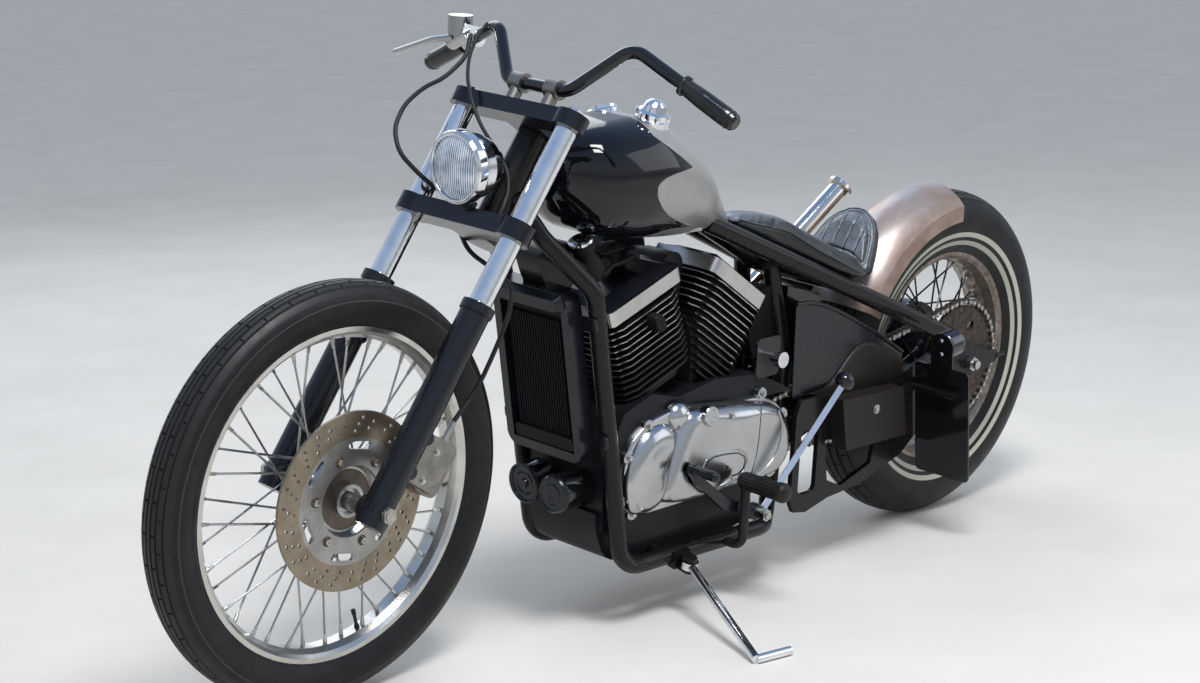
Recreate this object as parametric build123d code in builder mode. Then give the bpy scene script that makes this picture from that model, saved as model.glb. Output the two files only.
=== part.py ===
from build123d import *
import os
from math import atan2, ceil, cos, degrees, hypot, pi, radians, sin, tan

# A low chopper with a long raked fork, a V-twin engine in a double cradle and a solo seat.
# It is modelled upright, in millimetres: X forward, Y to the rider's left, Z up, with the
# ground under the rear axle at the origin. The last lines lean it onto its side stand.

# Stance
WHEELBASE = 1600
RAKE = 34
LEAN = 5
FRONT_TYRE_R = 352
REAR_TYRE_R = 340

# Clearances
FIT = 0.05
SEAT_GAP = 0.25
BEARING_GAP = 1.0

# Wheels
FRONT_RIM_R = 280.3
FRONT_RIM_HALF = 27.5
FRONT_TYRE_HALF = 42
REAR_RIM_R = 216.8
REAR_RIM_HALF = 44
REAR_TYRE_HALF = 65
CROWN_HALF = 6
RIM_WALL = 3
RIM_WELL = 21
SPOKES = 40
SPOKE_R = 2.0
AXLE_R = 9
AXLE_HALF = 140
FRONT_AXLE_HALF = 158

# Tyre wall from the rim to the crown: share of the height, share of the half width
TYRE_WALL = ((0.14, 0.84), (0.36, 0.98), (0.56, 1.0), (0.74, 0.90), (0.88, 0.68), (0.97, 0.40))

# Brake disc
DISC_R = 150
DISC_BAND = 43
DISC_THICK = 5
DISC_FACE_Y = 60
DISC_BOLT_R = 75
DISC_HOLE_R = 3.6
DISC_ROWS = 27
DISC_BORE_R = 60
WINDOW_R = 93

# Fork, measured along the tubes from the front axle and forward of their line
FORK_Y = 122
STANCHION_R = 19.5
LEG_R = 25.5
LEG_TOP = 372
LEG_BOTTOM = -28
COLLAR_R = 28.5
COLLAR_H = 16
LOWER_CLAMP_Z = 489
LOWER_CLAMP_H = 32
UPPER_CLAMP_Z = 697
UPPER_CLAMP_H = 28
STEM_OFFSET = 55
STEM_R = 13
HEAD_TUBE_R = 27

# Caliper lugs on the left leg
LUG_Y = 97
LUG_THICK = 13
LUG_AHEAD = -46
LUG_UP = (84, 146)

# Handlebar
BAR_R = 11.1
BAR_UP = 768
BAR_FORWARD = -13
RISER_Y = 42
GRIP_LENGTH = 112
# Grip from its inner end: distance along the bar, radius
GRIP_PROFILE = ((0, 18), (5, 18), (7, 14.5), (45, 16.5), (95, 16.8), (112, 15), (117, 11))

# Rear wheel drive
CHAIN_PITCH = 15.875
CHAIN_Y = 83
ROLLER_R = 5
REAR_TEETH = 48
FRONT_TEETH = 17
SPROCKET_THICK = 7
OUTPUT_X = 640
OUTPUT_Z = 300

# Frame
TUBE_R = 16
CRADLE_Y = 112
CRADLE_Z = 118
DOWN_TOP_X = 1112
DOWN_TOP_Z = 640
DOWN_FOOT_X = 1010
RAIL_END_X = 620
UPRIGHT_X = 520
UPRIGHT_Y = 52
BATTERY_Z = 400
BATTERY_HALF = 34
RAIL_R = 17
DROPOUT_Y = 106
DROPOUT_THICK = 10

# Engine
CRANK_X = 852
CRANK_Z = 330
CRANKCASE_HALF = 92
FIN_PITCH = 12.5
FIN_THICK = 3.2
FIN_HALF = 82

front_axle_at = Vector(WHEELBASE, 0, FRONT_TYRE_R)
rear_axle_at = Vector(0, 0, REAR_TYRE_R)
fork_up = Vector(-sin(radians(RAKE)), 0, cos(radians(RAKE)))
fork_ahead = Vector(cos(radians(RAKE)), 0, sin(radians(RAKE)))


def fork_point(up, ahead=0.0, y=0.0):
    return front_axle_at + fork_up * up + fork_ahead * ahead + Vector(0, y, 0)


def fork_plane(up, ahead=0.0, y=0.0):
    return Plane(origin=fork_point(up, ahead, y), x_dir=fork_ahead, z_dir=fork_up)


def wheel_plane(centre, y=0.0):
    return Plane(origin=centre + Vector(0, y, 0), x_dir=(1, 0, 0), z_dir=(0, 0, 1))


def side_plane(y, origin=(0, 0, 0)):
    """Looks in from the left: local x runs forward and local y runs up, and it extrudes to the right."""
    origin = Vector(origin)
    return Plane(origin=(origin.X, y, origin.Z), x_dir=(1, 0, 0), z_dir=(0, -1, 0))


def fork_side(y):
    """Looks in from the left along the axle: local x runs forward of the fork and local y runs up it."""
    return Plane(origin=fork_point(0, y=y), x_dir=fork_ahead, z_dir=(0, -1, 0))


def axle_axis(centre):
    return Axis(centre, (0, 1, 0))


def rod(start, end, radius, sides=0, mode=Mode.ADD):
    start, end = Vector(start), Vector(end)
    with BuildSketch(Plane(origin=start, z_dir=end - start)) as section:
        if sides:
            RegularPolygon(radius, sides)
        else:
            Circle(radius)
    extrude(section.sketch, amount=(end - start).length, mode=mode)


def spun(start, end, profile, mode=Mode.ADD):
    """Revolves (distance, radius) points about the line from start towards end."""
    start, end = Vector(start), Vector(end)
    along = (end - start).normalized()
    across = along.cross(Vector(0.3, 0.2, 1)).normalized()
    with BuildSketch(Plane(origin=start, x_dir=along, z_dir=across)) as section:
        with BuildLine():
            Polyline((profile[0][0], 0), *profile, (profile[-1][0], 0), close=True)
        make_face()
    revolve(section.sketch, axis=Axis(start, along), mode=mode)


def tube(points, radius, bends, mode=Mode.ADD):
    with BuildLine() as route:
        FilletPolyline(*points, radius=bends)
    with BuildSketch(Plane(origin=route.line @ 0, z_dir=route.line % 0)) as section:
        Circle(radius)
    sweep(section.sketch, path=route.line, mode=mode)


def tyre_section(outer, half, flange, flange_half):
    bead = flange - 6.5
    bead_half = flange_half - RIM_WALL - SEAT_GAP
    lip = flange + 0.8
    wall = [(lip + up * (outer - lip), out * half) for up, out in TYRE_WALL]
    side = [(bead, bead_half), (lip, bead_half), (lip, flange_half), *wall, (outer, CROWN_HALF)]
    with BuildLine() as outline:
        Polyline(*side, *[(r, -y) for r, y in reversed(side)], close=True)
    make_face(outline.edges())


def rim_section(flange, half):
    well_half = half * 0.4
    inner = [(flange, half), (flange - 8, half), (flange - 14, half - 6), (flange - RIM_WELL, well_half)]
    outer = [(flange - RIM_WELL + 4, well_half - 1), (flange - 11, half - 8),
             (flange - 6.8, half - RIM_WALL), (flange, half - RIM_WALL)]
    with BuildLine() as outline:
        Polyline(*inner, *[(r, -y) for r, y in reversed(inner)],
                 *[(r, -y) for r, y in reversed(outer)], *outer, close=True)
    make_face(outline.edges())


def turned(centre, profile):
    """Revolves a closed outline of (radius, y) points about a wheel's axle."""
    with BuildSketch(wheel_plane(centre)) as section:
        with BuildLine():
            Polyline(*profile, close=True)
        make_face()
    revolve(section.sketch, axis=axle_axis(centre))


def lace(centre, flange_r, flange_y, rim_seat, cross):
    """Spokes from two hub flanges, each pair crossing its neighbours, out to the rim's well."""
    for turn in range(SPOKES // 4):
        for place, (side, lead) in enumerate(((1, 1), (-1, 1), (1, -1), (-1, -1))):
            at_rim = radians(360 / SPOKES * (4 * turn + place))
            at_hub = at_rim - lead * radians(cross)
            radius, y = flange_r[side], flange_y[side] + lead * 2.2
            start = centre + Vector(radius * cos(at_hub), y, radius * sin(at_hub))
            end = centre + Vector(rim_seat * cos(at_rim), side * 4, rim_seat * sin(at_rim))
            rod(start, end, SPOKE_R, sides=6)


# Front wheel
with BuildPart() as front_tyre:
    with BuildSketch(wheel_plane(front_axle_at)):
        tyre_section(FRONT_TYRE_R, FRONT_TYRE_HALF, FRONT_RIM_R, FRONT_RIM_HALF)
    revolve(axis=axle_axis(front_axle_at))

with BuildPart() as front_rim:
    with BuildSketch(wheel_plane(front_axle_at)):
        rim_section(FRONT_RIM_R, FRONT_RIM_HALF)
    revolve(axis=axle_axis(front_axle_at))

# Front hub from the right end round to the left: radius, distance along the axle
DISC_SEAT_Y = DISC_FACE_Y - DISC_THICK - SEAT_GAP
FRONT_HUB = ((AXLE_R + FIT, -56), (28, -56), (32, -38), (50, -36), (50, -30), (26, -24), (26, 24),
             (50, 30), (50, 36), (60, 40), (84, 46), (84, DISC_SEAT_Y), (60, DISC_SEAT_Y), (54, 46), (28, 46),
             (28, 58), (22, 58), (22, 50), (AXLE_R + FIT, 50))
with BuildPart() as front_hub:
    turned(front_axle_at, FRONT_HUB)
    lace(front_axle_at, {1: 46, -1: 46}, {1: 33, -1: -33}, FRONT_RIM_R - RIM_WELL - 1, 56)

# The drilled band rides on a carrier with long windows and six bolts; its holes go in rows of 3, 3 and 2
disc_holes = []
for row in range(DISC_ROWS):
    for place, radius in enumerate((122, 134) if row % 3 == 2 else (117, 128, 139)):
        at = radians(360 / DISC_ROWS * row + 3 * place)
        disc_holes.append((radius * cos(at), radius * sin(at)))
with BuildPart() as brake_disc:
    with BuildSketch(side_plane(DISC_FACE_Y, front_axle_at)):
        Circle(DISC_R)
        Circle(DISC_BORE_R, mode=Mode.SUBTRACT)
        with PolarLocations(WINDOW_R, 6, start_angle=40):
            SlotCenterToCenter(34, 13, rotation=90, mode=Mode.SUBTRACT)
        with Locations(*disc_holes):
            RegularPolygon(DISC_HOLE_R, 6, mode=Mode.SUBTRACT)
    extrude(amount=DISC_THICK)
    with BuildSketch(side_plane(DISC_FACE_Y + 3, front_axle_at)):
        with PolarLocations(DISC_BOLT_R, 6, start_angle=10):
            RegularPolygon(6, 6)
    extrude(amount=3)

# Rear wheel
DRUM_R = 98
REAR_HUB = ((AXLE_R + FIT, -70), (DRUM_R, -70), (DRUM_R, -32), (36, -22), (36, 22), (64, 26), (64, 32),
            (50, 36), (50, CHAIN_Y - SPROCKET_THICK / 2 - SEAT_GAP),
            (AXLE_R + FIT, CHAIN_Y - SPROCKET_THICK / 2 - SEAT_GAP))
with BuildPart() as rear_tyre:
    with BuildSketch(wheel_plane(rear_axle_at)):
        tyre_section(REAR_TYRE_R, REAR_TYRE_HALF, REAR_RIM_R, REAR_RIM_HALF)
    revolve(axis=axle_axis(rear_axle_at))

with BuildPart() as rear_rim:
    with BuildSketch(wheel_plane(rear_axle_at)):
        rim_section(REAR_RIM_R, REAR_RIM_HALF)
    revolve(axis=axle_axis(rear_axle_at))

with BuildPart() as rear_hub:
    turned(rear_axle_at, REAR_HUB)
    lace(rear_axle_at, {1: 60, -1: DRUM_R - 3}, {1: 29, -1: -38}, REAR_RIM_R - RIM_WELL - 1, 40)

rear_pitch_r = CHAIN_PITCH / (2 * sin(pi / REAR_TEETH))
front_pitch_r = CHAIN_PITCH / (2 * sin(pi / FRONT_TEETH))
with BuildPart() as rear_sprocket:
    with BuildSketch(side_plane(CHAIN_Y + SPROCKET_THICK / 2, rear_axle_at)):
        Circle(rear_pitch_r - 2 * ROLLER_R)
        with PolarLocations(rear_pitch_r - 2 * ROLLER_R, REAR_TEETH):
            Trapezoid(6, 4, 70, rotation=-90)
        Circle(AXLE_R + 3, mode=Mode.SUBTRACT)
        with PolarLocations(76, 6):
            Circle(11, mode=Mode.SUBTRACT)
    extrude(amount=SPROCKET_THICK)

# Chain: a fixed loop over both sprockets, wide outer links between narrow inner ones
CHAIN_LINK_H = 10
CHAIN_LINK_LAP = 7
chain_dx, chain_dz = OUTPUT_X, OUTPUT_Z - REAR_TYRE_R
span = hypot(chain_dx, chain_dz)
slope = atan2(chain_dz, chain_dx)
wrap = atan2(rear_pitch_r - front_pitch_r, span)
run = span * cos(wrap)
rear_arc = rear_pitch_r * (pi + 2 * wrap)
front_arc = front_pitch_r * (pi - 2 * wrap)
loop = 2 * run + rear_arc + front_arc
links = 2 * ceil(loop / CHAIN_PITCH / 2)


def on_loop(s):
    """Point at a distance along the chain, from the top of the rear sprocket forward."""
    s = s % loop
    top = slope + pi / 2 - wrap
    low = slope - pi / 2 + wrap
    if s < run:
        return (rear_pitch_r * cos(top) + s * cos(slope - wrap),
                rear_pitch_r * sin(top) + s * sin(slope - wrap))
    s -= run
    if s < front_arc:
        at = top - s / front_pitch_r
        return chain_dx + front_pitch_r * cos(at), chain_dz + front_pitch_r * sin(at)
    s -= front_arc
    if s < run:
        return (chain_dx + front_pitch_r * cos(low) - s * cos(slope + wrap),
                chain_dz + front_pitch_r * sin(low) - s * sin(slope + wrap))
    at = low - (s - run) / rear_pitch_r
    return rear_pitch_r * cos(at), rear_pitch_r * sin(at)


with BuildPart() as chain:
    for half_width, first in ((8.0, 0), (5.5, 1)):
        with BuildSketch(side_plane(CHAIN_Y + half_width, rear_axle_at)):
            for link in range(first, links, 2):
                x0, z0 = on_loop(link * loop / links)
                x1, z1 = on_loop((link + 1) * loop / links)
                turn = degrees(atan2(z1 - z0, x1 - x0))
                with Locations(Location(((x0 + x1) / 2, (z0 + z1) / 2, 0), (0, 0, turn))):
                    Rectangle(hypot(x1 - x0, z1 - z0) + CHAIN_LINK_LAP, CHAIN_LINK_H)
        extrude(amount=2 * half_width)

# Rear axle with its spacers and nuts
PLATE_OUT_Y = 83
with BuildPart() as rear_axle:
    rod((0, -AXLE_HALF, REAR_TYRE_R), (0, AXLE_HALF, REAR_TYRE_R), AXLE_R)
    for near, far, radius in ((-DROPOUT_Y + SEAT_GAP, -PLATE_OUT_Y - SEAT_GAP, 16),
                              (92, DROPOUT_Y - SEAT_GAP, 16)):
        rod((0, near, REAR_TYRE_R), (0, far, REAR_TYRE_R), radius)
    for side in (-1, 1):
        inner = side * (DROPOUT_Y + DROPOUT_THICK + SEAT_GAP)
        rod((0, inner, REAR_TYRE_R), (0, inner + side * 14, REAR_TYRE_R), 15, sides=6)

with BuildPart() as brake_plate:
    rod((0, -PLATE_OUT_Y, REAR_TYRE_R), (0, -71.5, REAR_TYRE_R), DRUM_R - 4)
    rod((0, -90, REAR_TYRE_R), (0, -60, REAR_TYRE_R), AXLE_R + FIT, mode=Mode.SUBTRACT)

# Fork
with BuildPart() as fork_legs:
    for side in (-1, 1):
        with BuildSketch(fork_plane(LEG_BOTTOM, y=side * FORK_Y)):
            Circle(LEG_R)
        extrude(amount=LEG_TOP - LEG_BOTTOM)
        with BuildSketch(fork_plane(LEG_TOP - COLLAR_H, y=side * FORK_Y)):
            Circle(COLLAR_R)
        extrude(amount=COLLAR_H)
        rod(fork_point(0, y=side * (FORK_Y - 25)), fork_point(0, y=side * (FORK_Y + 13)), 23)
        with BuildSketch(fork_plane(LEG_TOP, y=side * FORK_Y)):
            Circle(STANCHION_R + SEAT_GAP)
        extrude(amount=-150, mode=Mode.SUBTRACT)
    rod(fork_point(0, y=-FRONT_AXLE_HALF), fork_point(0, y=FRONT_AXLE_HALF), AXLE_R + FIT,
        mode=Mode.SUBTRACT)
    with BuildSketch(fork_side(LUG_Y + LUG_THICK)):
        for up in LUG_UP:
            with Locations((LUG_AHEAD / 2, up)):
                Rectangle(-LUG_AHEAD, 22)
            with Locations((LUG_AHEAD, up)):
                Circle(11)
    extrude(amount=LUG_THICK)

with BuildPart() as stanchions:
    with BuildSketch(fork_plane(LEG_TOP - 149)):
        with Locations((0, FORK_Y), (0, -FORK_Y)):
            Circle(STANCHION_R)
    extrude(amount=UPPER_CLAMP_Z + UPPER_CLAMP_H + 2 - LEG_TOP + 149)
    with BuildSketch(fork_plane(UPPER_CLAMP_Z + UPPER_CLAMP_H + 2)):
        with Locations((0, FORK_Y), (0, -FORK_Y)):
            RegularPolygon(13, 6)
    extrude(amount=7)

with BuildPart() as front_axle:
    rod(fork_point(0, y=-FRONT_AXLE_HALF), fork_point(0, y=FRONT_AXLE_HALF), AXLE_R)
    leg_inside = FORK_Y - LEG_R - SEAT_GAP
    rod(fork_point(0, y=-leg_inside), fork_point(0, y=-57), 15)
    rod(fork_point(0, y=50.5), fork_point(0, y=leg_inside), 15)
    for side in (-1, 1):
        inner = side * (FORK_Y + LEG_R + SEAT_GAP)
        rod(fork_point(0, y=inner), fork_point(0, y=inner + side * 8), 14, sides=6)


def clamp_sketch(width, boss):
    Rectangle(width, 2 * FORK_Y)
    with Locations((0, FORK_Y), (0, -FORK_Y)):
        Circle(boss)
    with Locations((-STEM_OFFSET / 2, 0)):
        Rectangle(STEM_OFFSET, 76)
    with Locations((-STEM_OFFSET, 0)):
        Circle(38)
    with Locations((0, FORK_Y), (0, -FORK_Y)):
        Circle(STANCHION_R + FIT, mode=Mode.SUBTRACT)


with BuildPart() as lower_clamp:
    with BuildSketch(fork_plane(LOWER_CLAMP_Z)):
        clamp_sketch(48, 30)
    extrude(amount=LOWER_CLAMP_H)
    with BuildSketch(fork_plane(LOWER_CLAMP_Z, -STEM_OFFSET)):
        Circle(STEM_R)
    extrude(amount=UPPER_CLAMP_Z + UPPER_CLAMP_H + 14 - LOWER_CLAMP_Z)

with BuildPart() as upper_clamp:
    with BuildSketch(fork_plane(UPPER_CLAMP_Z)):
        clamp_sketch(46, 29)
        with Locations((-STEM_OFFSET, 0)):
            Circle(STEM_R + FIT, mode=Mode.SUBTRACT)
    extrude(amount=UPPER_CLAMP_H)

# Handlebar, risers and controls
bar_points = [fork_point(BAR_UP, BAR_FORWARD, y) + Vector(*shift) for y, shift in (
    (-362, (-88, 0, -15)), (-160, (-60, 0, 81)), (-72, (0, 0, 0)),
    (72, (0, 0, 0)), (160, (-60, 0, 81)), (362, (-88, 0, -15)))]
with BuildPart() as handlebar:
    tube(bar_points, BAR_R, [38, 38, 38, 38])

grip_along = (bar_points[-1] - bar_points[-2]).normalized()
with BuildPart() as grips:
    for side in (-1, 1):
        end = Vector(bar_points[-1].X, side * bar_points[-1].Y, bar_points[-1].Z)
        along = Vector(grip_along.X, side * grip_along.Y, grip_along.Z)
        spun(end - along * GRIP_LENGTH, end, GRIP_PROFILE)
        rod(end - along * (GRIP_LENGTH + 1), end + along * SEAT_GAP, BAR_R + SEAT_GAP, mode=Mode.SUBTRACT)

with BuildPart() as risers:
    for y in (-RISER_Y, RISER_Y):
        base = UPPER_CLAMP_Z + UPPER_CLAMP_H
        with BuildSketch(fork_plane(base, BAR_FORWARD, y)):
            Circle(12)
        extrude(amount=BAR_UP - base - 4)
        rod(fork_point(BAR_UP, BAR_FORWARD, y - 14), fork_point(BAR_UP, BAR_FORWARD, y + 14), BAR_R + 6)
        rod(fork_point(BAR_UP, BAR_FORWARD, y - 15), fork_point(BAR_UP, BAR_FORWARD, y + 15),
            BAR_R + SEAT_GAP, mode=Mode.SUBTRACT)

bar_slope = Vector(grip_along.X, -grip_along.Y, grip_along.Z)
lever_root = Vector(bar_points[0].X, bar_points[0].Y, bar_points[0].Z) - bar_slope * (GRIP_LENGTH + 26)
UNION_R = 8
union_at = lever_root + Vector(30, 0, 4) - bar_slope * 38
with BuildPart() as brake_lever:
    rod(lever_root - bar_slope * 14, lever_root + bar_slope * 14, 19)
    rod(lever_root + Vector(30, 0, 4) - bar_slope * 32, lever_root + Vector(30, 0, 4) + bar_slope * 26, 14)
    rod(lever_root + Vector(30, 0, 10), lever_root + Vector(30, 0, 44), 22)
    rod(lever_root - bar_slope * 40, lever_root + bar_slope * 40, BAR_R + SEAT_GAP, mode=Mode.SUBTRACT)
    rod(union_at - bar_slope * 6, union_at + bar_slope * 8, UNION_R)
    tube([lever_root + Vector(40, -8, 4), lever_root + Vector(58, -45, -4),
          lever_root + Vector(44, -152, -40)], 6, [30])

PAD_GAP = 3.5
CALIPER_IN = 36
CALIPER_OUT = 86
CALIPER_AHEAD = -112
CALIPER_UP = 115
CALIPER_TALL = 96

# Headlamp on its stem above the lower clamp
LAMP_R = 62
# Bowl from the lens back: distance, radius as a share of the rim's
LAMP_BOWL = ((0, 0.85), (-3, 0.88), (3, 0.93), (3, 0.97), (0, 1.0), (-15, 1.0), (-18, 0.95), (-42, 0.88),
             (-62, 0.74), (-80, 0.52), (-94, 0.26), (-98, 0.1))
lamp_at = fork_point(566, 69)
with BuildPart() as headlamp:
    spun(lamp_at, lamp_at + Vector(1, 0, 0), [(along, share * LAMP_R) for along, share in LAMP_BOWL])

with BuildPart() as lamp_bracket:
    with BuildSketch(fork_plane(LOWER_CLAMP_Z + LOWER_CLAMP_H + SEAT_GAP, 6)):
        Circle(13)
    extrude(amount=16)
    rod(fork_point(LOWER_CLAMP_Z + LOWER_CLAMP_H + 10, 6), lamp_at + Vector(-40, 0, -LAMP_R + 10), 9)
    add(headlamp.part, mode=Mode.SUBTRACT)

with BuildPart() as caliper:
    with BuildSketch(fork_side(CALIPER_OUT)):
        with Locations((CALIPER_AHEAD, CALIPER_UP)):
            RectangleRounded(60, CALIPER_TALL, 16)
    extrude(amount=CALIPER_OUT - CALIPER_IN)
    with BuildSketch(fork_side(DISC_FACE_Y + PAD_GAP)):
        Circle(DISC_R + PAD_GAP)
    extrude(amount=DISC_THICK + 2 * PAD_GAP, mode=Mode.SUBTRACT)
    with BuildSketch(fork_side(LUG_Y - SEAT_GAP)):
        with Locations(((CALIPER_AHEAD + LUG_AHEAD) / 2, CALIPER_UP)):
            Rectangle(LUG_AHEAD - CALIPER_AHEAD + 24, LUG_UP[1] - LUG_UP[0] + 24)
    extrude(amount=LUG_Y - SEAT_GAP - CALIPER_OUT + 1)
    for up in LUG_UP:
        rod(fork_point(up, CALIPER_AHEAD + 2, CALIPER_OUT - 1), fork_point(up, CALIPER_AHEAD + 2, 92), 13)

# Cradle frame
SPINE_R = 22
PIVOT_X = 486
PIVOT_Z = 322
PIVOT_R = 14
SEAT_BAR_R = 9
SEAT_BARS = ((400, 546.3), (490, 579.6))
FENDER_R = 356
FENDER_HALF = 80
FENDER_THICK = 3
spine_route = [(1190, 0, 850), (1080, 0, 830), (720, 0, 700), (560, 0, 612)]
with BuildPart() as main_frame:
    with BuildSketch(fork_plane(LOWER_CLAMP_Z + LOWER_CLAMP_H + BEARING_GAP, -STEM_OFFSET)):
        Circle(HEAD_TUBE_R)
    extrude(amount=UPPER_CLAMP_Z - LOWER_CLAMP_Z - LOWER_CLAMP_H - 2 * BEARING_GAP)
    tube(spine_route, SPINE_R, [60, 60])
    for side in (-1, 1):
        tube([(1222, side * 20, 800), (1195, side * 62, 735), (DOWN_TOP_X, side * CRADLE_Y, DOWN_TOP_Z),
              (DOWN_FOOT_X, side * CRADLE_Y, CRADLE_Z), (RAIL_END_X, side * CRADLE_Y, CRADLE_Z),
              (UPRIGHT_X + 20, side * UPRIGHT_Y, CRADLE_Z), (UPRIGHT_X, side * UPRIGHT_Y, 410),
              (556, side * 36, 600)], TUBE_R, [40, 70, 60, 60, 58, 50])
        with BuildSketch(side_plane(side * 60 + 4)):
            with Locations((PIVOT_X, PIVOT_Z)):
                Circle(26)
            with Locations(((PIVOT_X + UPRIGHT_X) / 2, PIVOT_Z)):
                Rectangle(UPRIGHT_X - PIVOT_X, 40)
            with Locations((PIVOT_X, PIVOT_Z)):
                Circle(PIVOT_R + SEAT_GAP, mode=Mode.SUBTRACT)
        extrude(amount=8)
    rod((556, -36, 600), (556, 36, 600), 14)
    rod((UPRIGHT_X + 8, -UPRIGHT_Y, PIVOT_Z - 110), (UPRIGHT_X + 8, UPRIGHT_Y, PIVOT_Z - 110), 12)
    rod((900, -CRADLE_Y, CRADLE_Z), (900, CRADLE_Y, CRADLE_Z), 12)
    rod((505, -UPRIGHT_Y, BATTERY_Z - 10 - SEAT_GAP), (505, UPRIGHT_Y, BATTERY_Z - 10 - SEAT_GAP), 10)
    with BuildSketch(fork_plane(LOWER_CLAMP_Z + LOWER_CLAMP_H, -STEM_OFFSET)):
        Circle(STEM_R + FIT)
    extrude(amount=UPPER_CLAMP_Z - LOWER_CLAMP_Z, mode=Mode.SUBTRACT)

with BuildPart() as rear_frame:
    for side in (-1, 1):
        tube([(715, side * 60, 688), (400, side * 101, 550), (20, side * 113, 385)], RAIL_R, [300])
        plate = side_plane(side * DROPOUT_Y + (DROPOUT_THICK if side > 0 else 0))
        with BuildSketch(plate):
            with BuildLine():
                Polyline((-98, 328), (-98, 352), (-40, 364), (20, 400), (110, 425), (130, 380), (240, 350),
                         (535, 350), (546, 320), (548, 150), (536, 128), (500, 122), (436, 138), (332, 147),
                         (208, 185), (120, 250), (40, 312), close=True)
            make_face()
            with BuildLine():
                Polyline((454, 258), (440, 175), (396, 155), (305, 184), (296, 232), (310, 250), close=True)
            make_face(mode=Mode.SUBTRACT)
            with Locations((502, 224)):
                RectangleRounded(52, 128, 14, mode=Mode.SUBTRACT)
            with Locations((0, REAR_TYRE_R)):
                Circle(AXLE_R + FIT, mode=Mode.SUBTRACT)
        extrude(amount=DROPOUT_THICK)
        middle = side * (DROPOUT_Y + DROPOUT_THICK / 2)
        rod((-96, middle, REAR_TYRE_R), (-130, middle, REAR_TYRE_R), 4)
        rod((-98, middle, REAR_TYRE_R), (-106, middle, REAR_TYRE_R), 8, sides=6)
        rod((262, side * (FENDER_HALF + SEAT_GAP), 490), (262, side * 112, 490), 10)
    for x, z in SEAT_BARS:
        rod((x, -90, z), (x, 90, z), SEAT_BAR_R)
    rod((PIVOT_X, -DROPOUT_Y, PIVOT_Z), (PIVOT_X, DROPOUT_Y, PIVOT_Z), PIVOT_R)

# Engine
def cylinder_plane(angle, up=0.0):
    lean = radians(angle)
    centre = Vector(CRANK_X + up * sin(lean), 0, CRANK_Z + up * cos(lean))
    return Plane(origin=centre, x_dir=(cos(lean), 0, -sin(lean)), z_dir=(sin(lean), 0, cos(lean)))


FRONT_CYLINDER_ANGLE = 20.5
REAR_CYLINDER_ANGLE = -33.5
FRONT_TOP = 274
REAR_TOP = 291
BARREL_START = 100
FIRST_FIN = 122
V_SPLIT_X = 812
V_GAP = 8
HEAD_HALF = 80
HEAD_BAND = 28
CARB_X = 815
CARB_Z = 630
PEDAL_X = 692
PEDAL_Z = 172

with BuildPart() as crankcase:
    with BuildSketch(side_plane(CRANKCASE_HALF)):
        with BuildLine():
            Polyline((1045, 190), (1045, 310), (1000, 400), (930, 425), (860, 408), (760, 425), (640, 415),
                     (560, 380), (545, 300), (575, 205), (700, 158), (960, 150), close=True)
        make_face()
    extrude(amount=2 * CRANKCASE_HALF)
    with BuildSketch(side_plane(CRANKCASE_HALF)):
        with Locations((OUTPUT_X, OUTPUT_Z)):
            Circle(front_pitch_r + 14)
        with Locations((OUTPUT_X - 60, OUTPUT_Z + 5)):
            Rectangle(120, 2 * front_pitch_r + 40)
    extrude(amount=CRANKCASE_HALF - CHAIN_Y + 16, mode=Mode.SUBTRACT)


def cut_corner(length, width, cut):
    """A plate outline whose corners are cut twice, close to a round corner."""
    x, y = length / 2, width / 2
    corner = [(x, y - cut), (x - 0.3 * cut, y - 0.3 * cut), (x - cut, y)]
    far = [(-u, v) for u, v in reversed(corner)]
    with BuildLine() as outline:
        Polyline(*corner, *far, *[(-u, -v) for u, v in corner], *[(-u, -v) for u, v in far], close=True)
    make_face(outline.edges())


def finned_cylinder(angle, top, length):
    with BuildSketch(cylinder_plane(angle, BARREL_START)) as barrel:
        cut_corner(150, 132, 26)
    extrude(barrel.sketch, amount=top - BARREL_START)
    for fin in range(ceil((top - FIN_THICK - FIRST_FIN) / FIN_PITCH)):
        with BuildSketch(cylinder_plane(angle, FIRST_FIN + fin * FIN_PITCH)) as plate:
            cut_corner(length, 2 * FIN_HALF, 34)
        extrude(plate.sketch, amount=FIN_THICK)


with BuildPart() as front_cylinder:
    finned_cylinder(FRONT_CYLINDER_ANGLE, FRONT_TOP, 194)
    split(bisect_by=Plane(origin=(V_SPLIT_X + V_GAP, 0, 0), z_dir=(1, 0, 0)), keep=Keep.TOP)
    add(crankcase.part, mode=Mode.SUBTRACT)

with BuildPart() as rear_cylinder:
    finned_cylinder(REAR_CYLINDER_ANGLE, REAR_TOP, 184)
    split(bisect_by=Plane(origin=(V_SPLIT_X - V_GAP, 0, 0), z_dir=(1, 0, 0)), keep=Keep.BOTTOM)
    add(crankcase.part, mode=Mode.SUBTRACT)

# Heads: a bevelled band round each, under a low sloped top
with BuildPart() as head_covers:
    for angle, top, shift, length in ((FRONT_CYLINDER_ANGLE, FRONT_TOP, -8, 192),
                                      (REAR_CYLINDER_ANGLE, REAR_TOP, 10, 176)):
        with BuildSketch(cylinder_plane(angle, top)):
            with Locations((shift, 0)):
                RectangleRounded(length, 2 * HEAD_HALF, 14)
        extrude(amount=HEAD_BAND)
        with BuildSketch(cylinder_plane(angle, top + HEAD_BAND)):
            with Locations((shift, 0)):
                Rectangle(length - 14, 2 * HEAD_HALF - 14)
        with BuildSketch(cylinder_plane(angle, top + HEAD_BAND + 14)):
            with Locations((shift, 0)):
                Rectangle(length - 60, 2 * HEAD_HALF - 70)
        loft(ruled=True)

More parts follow.
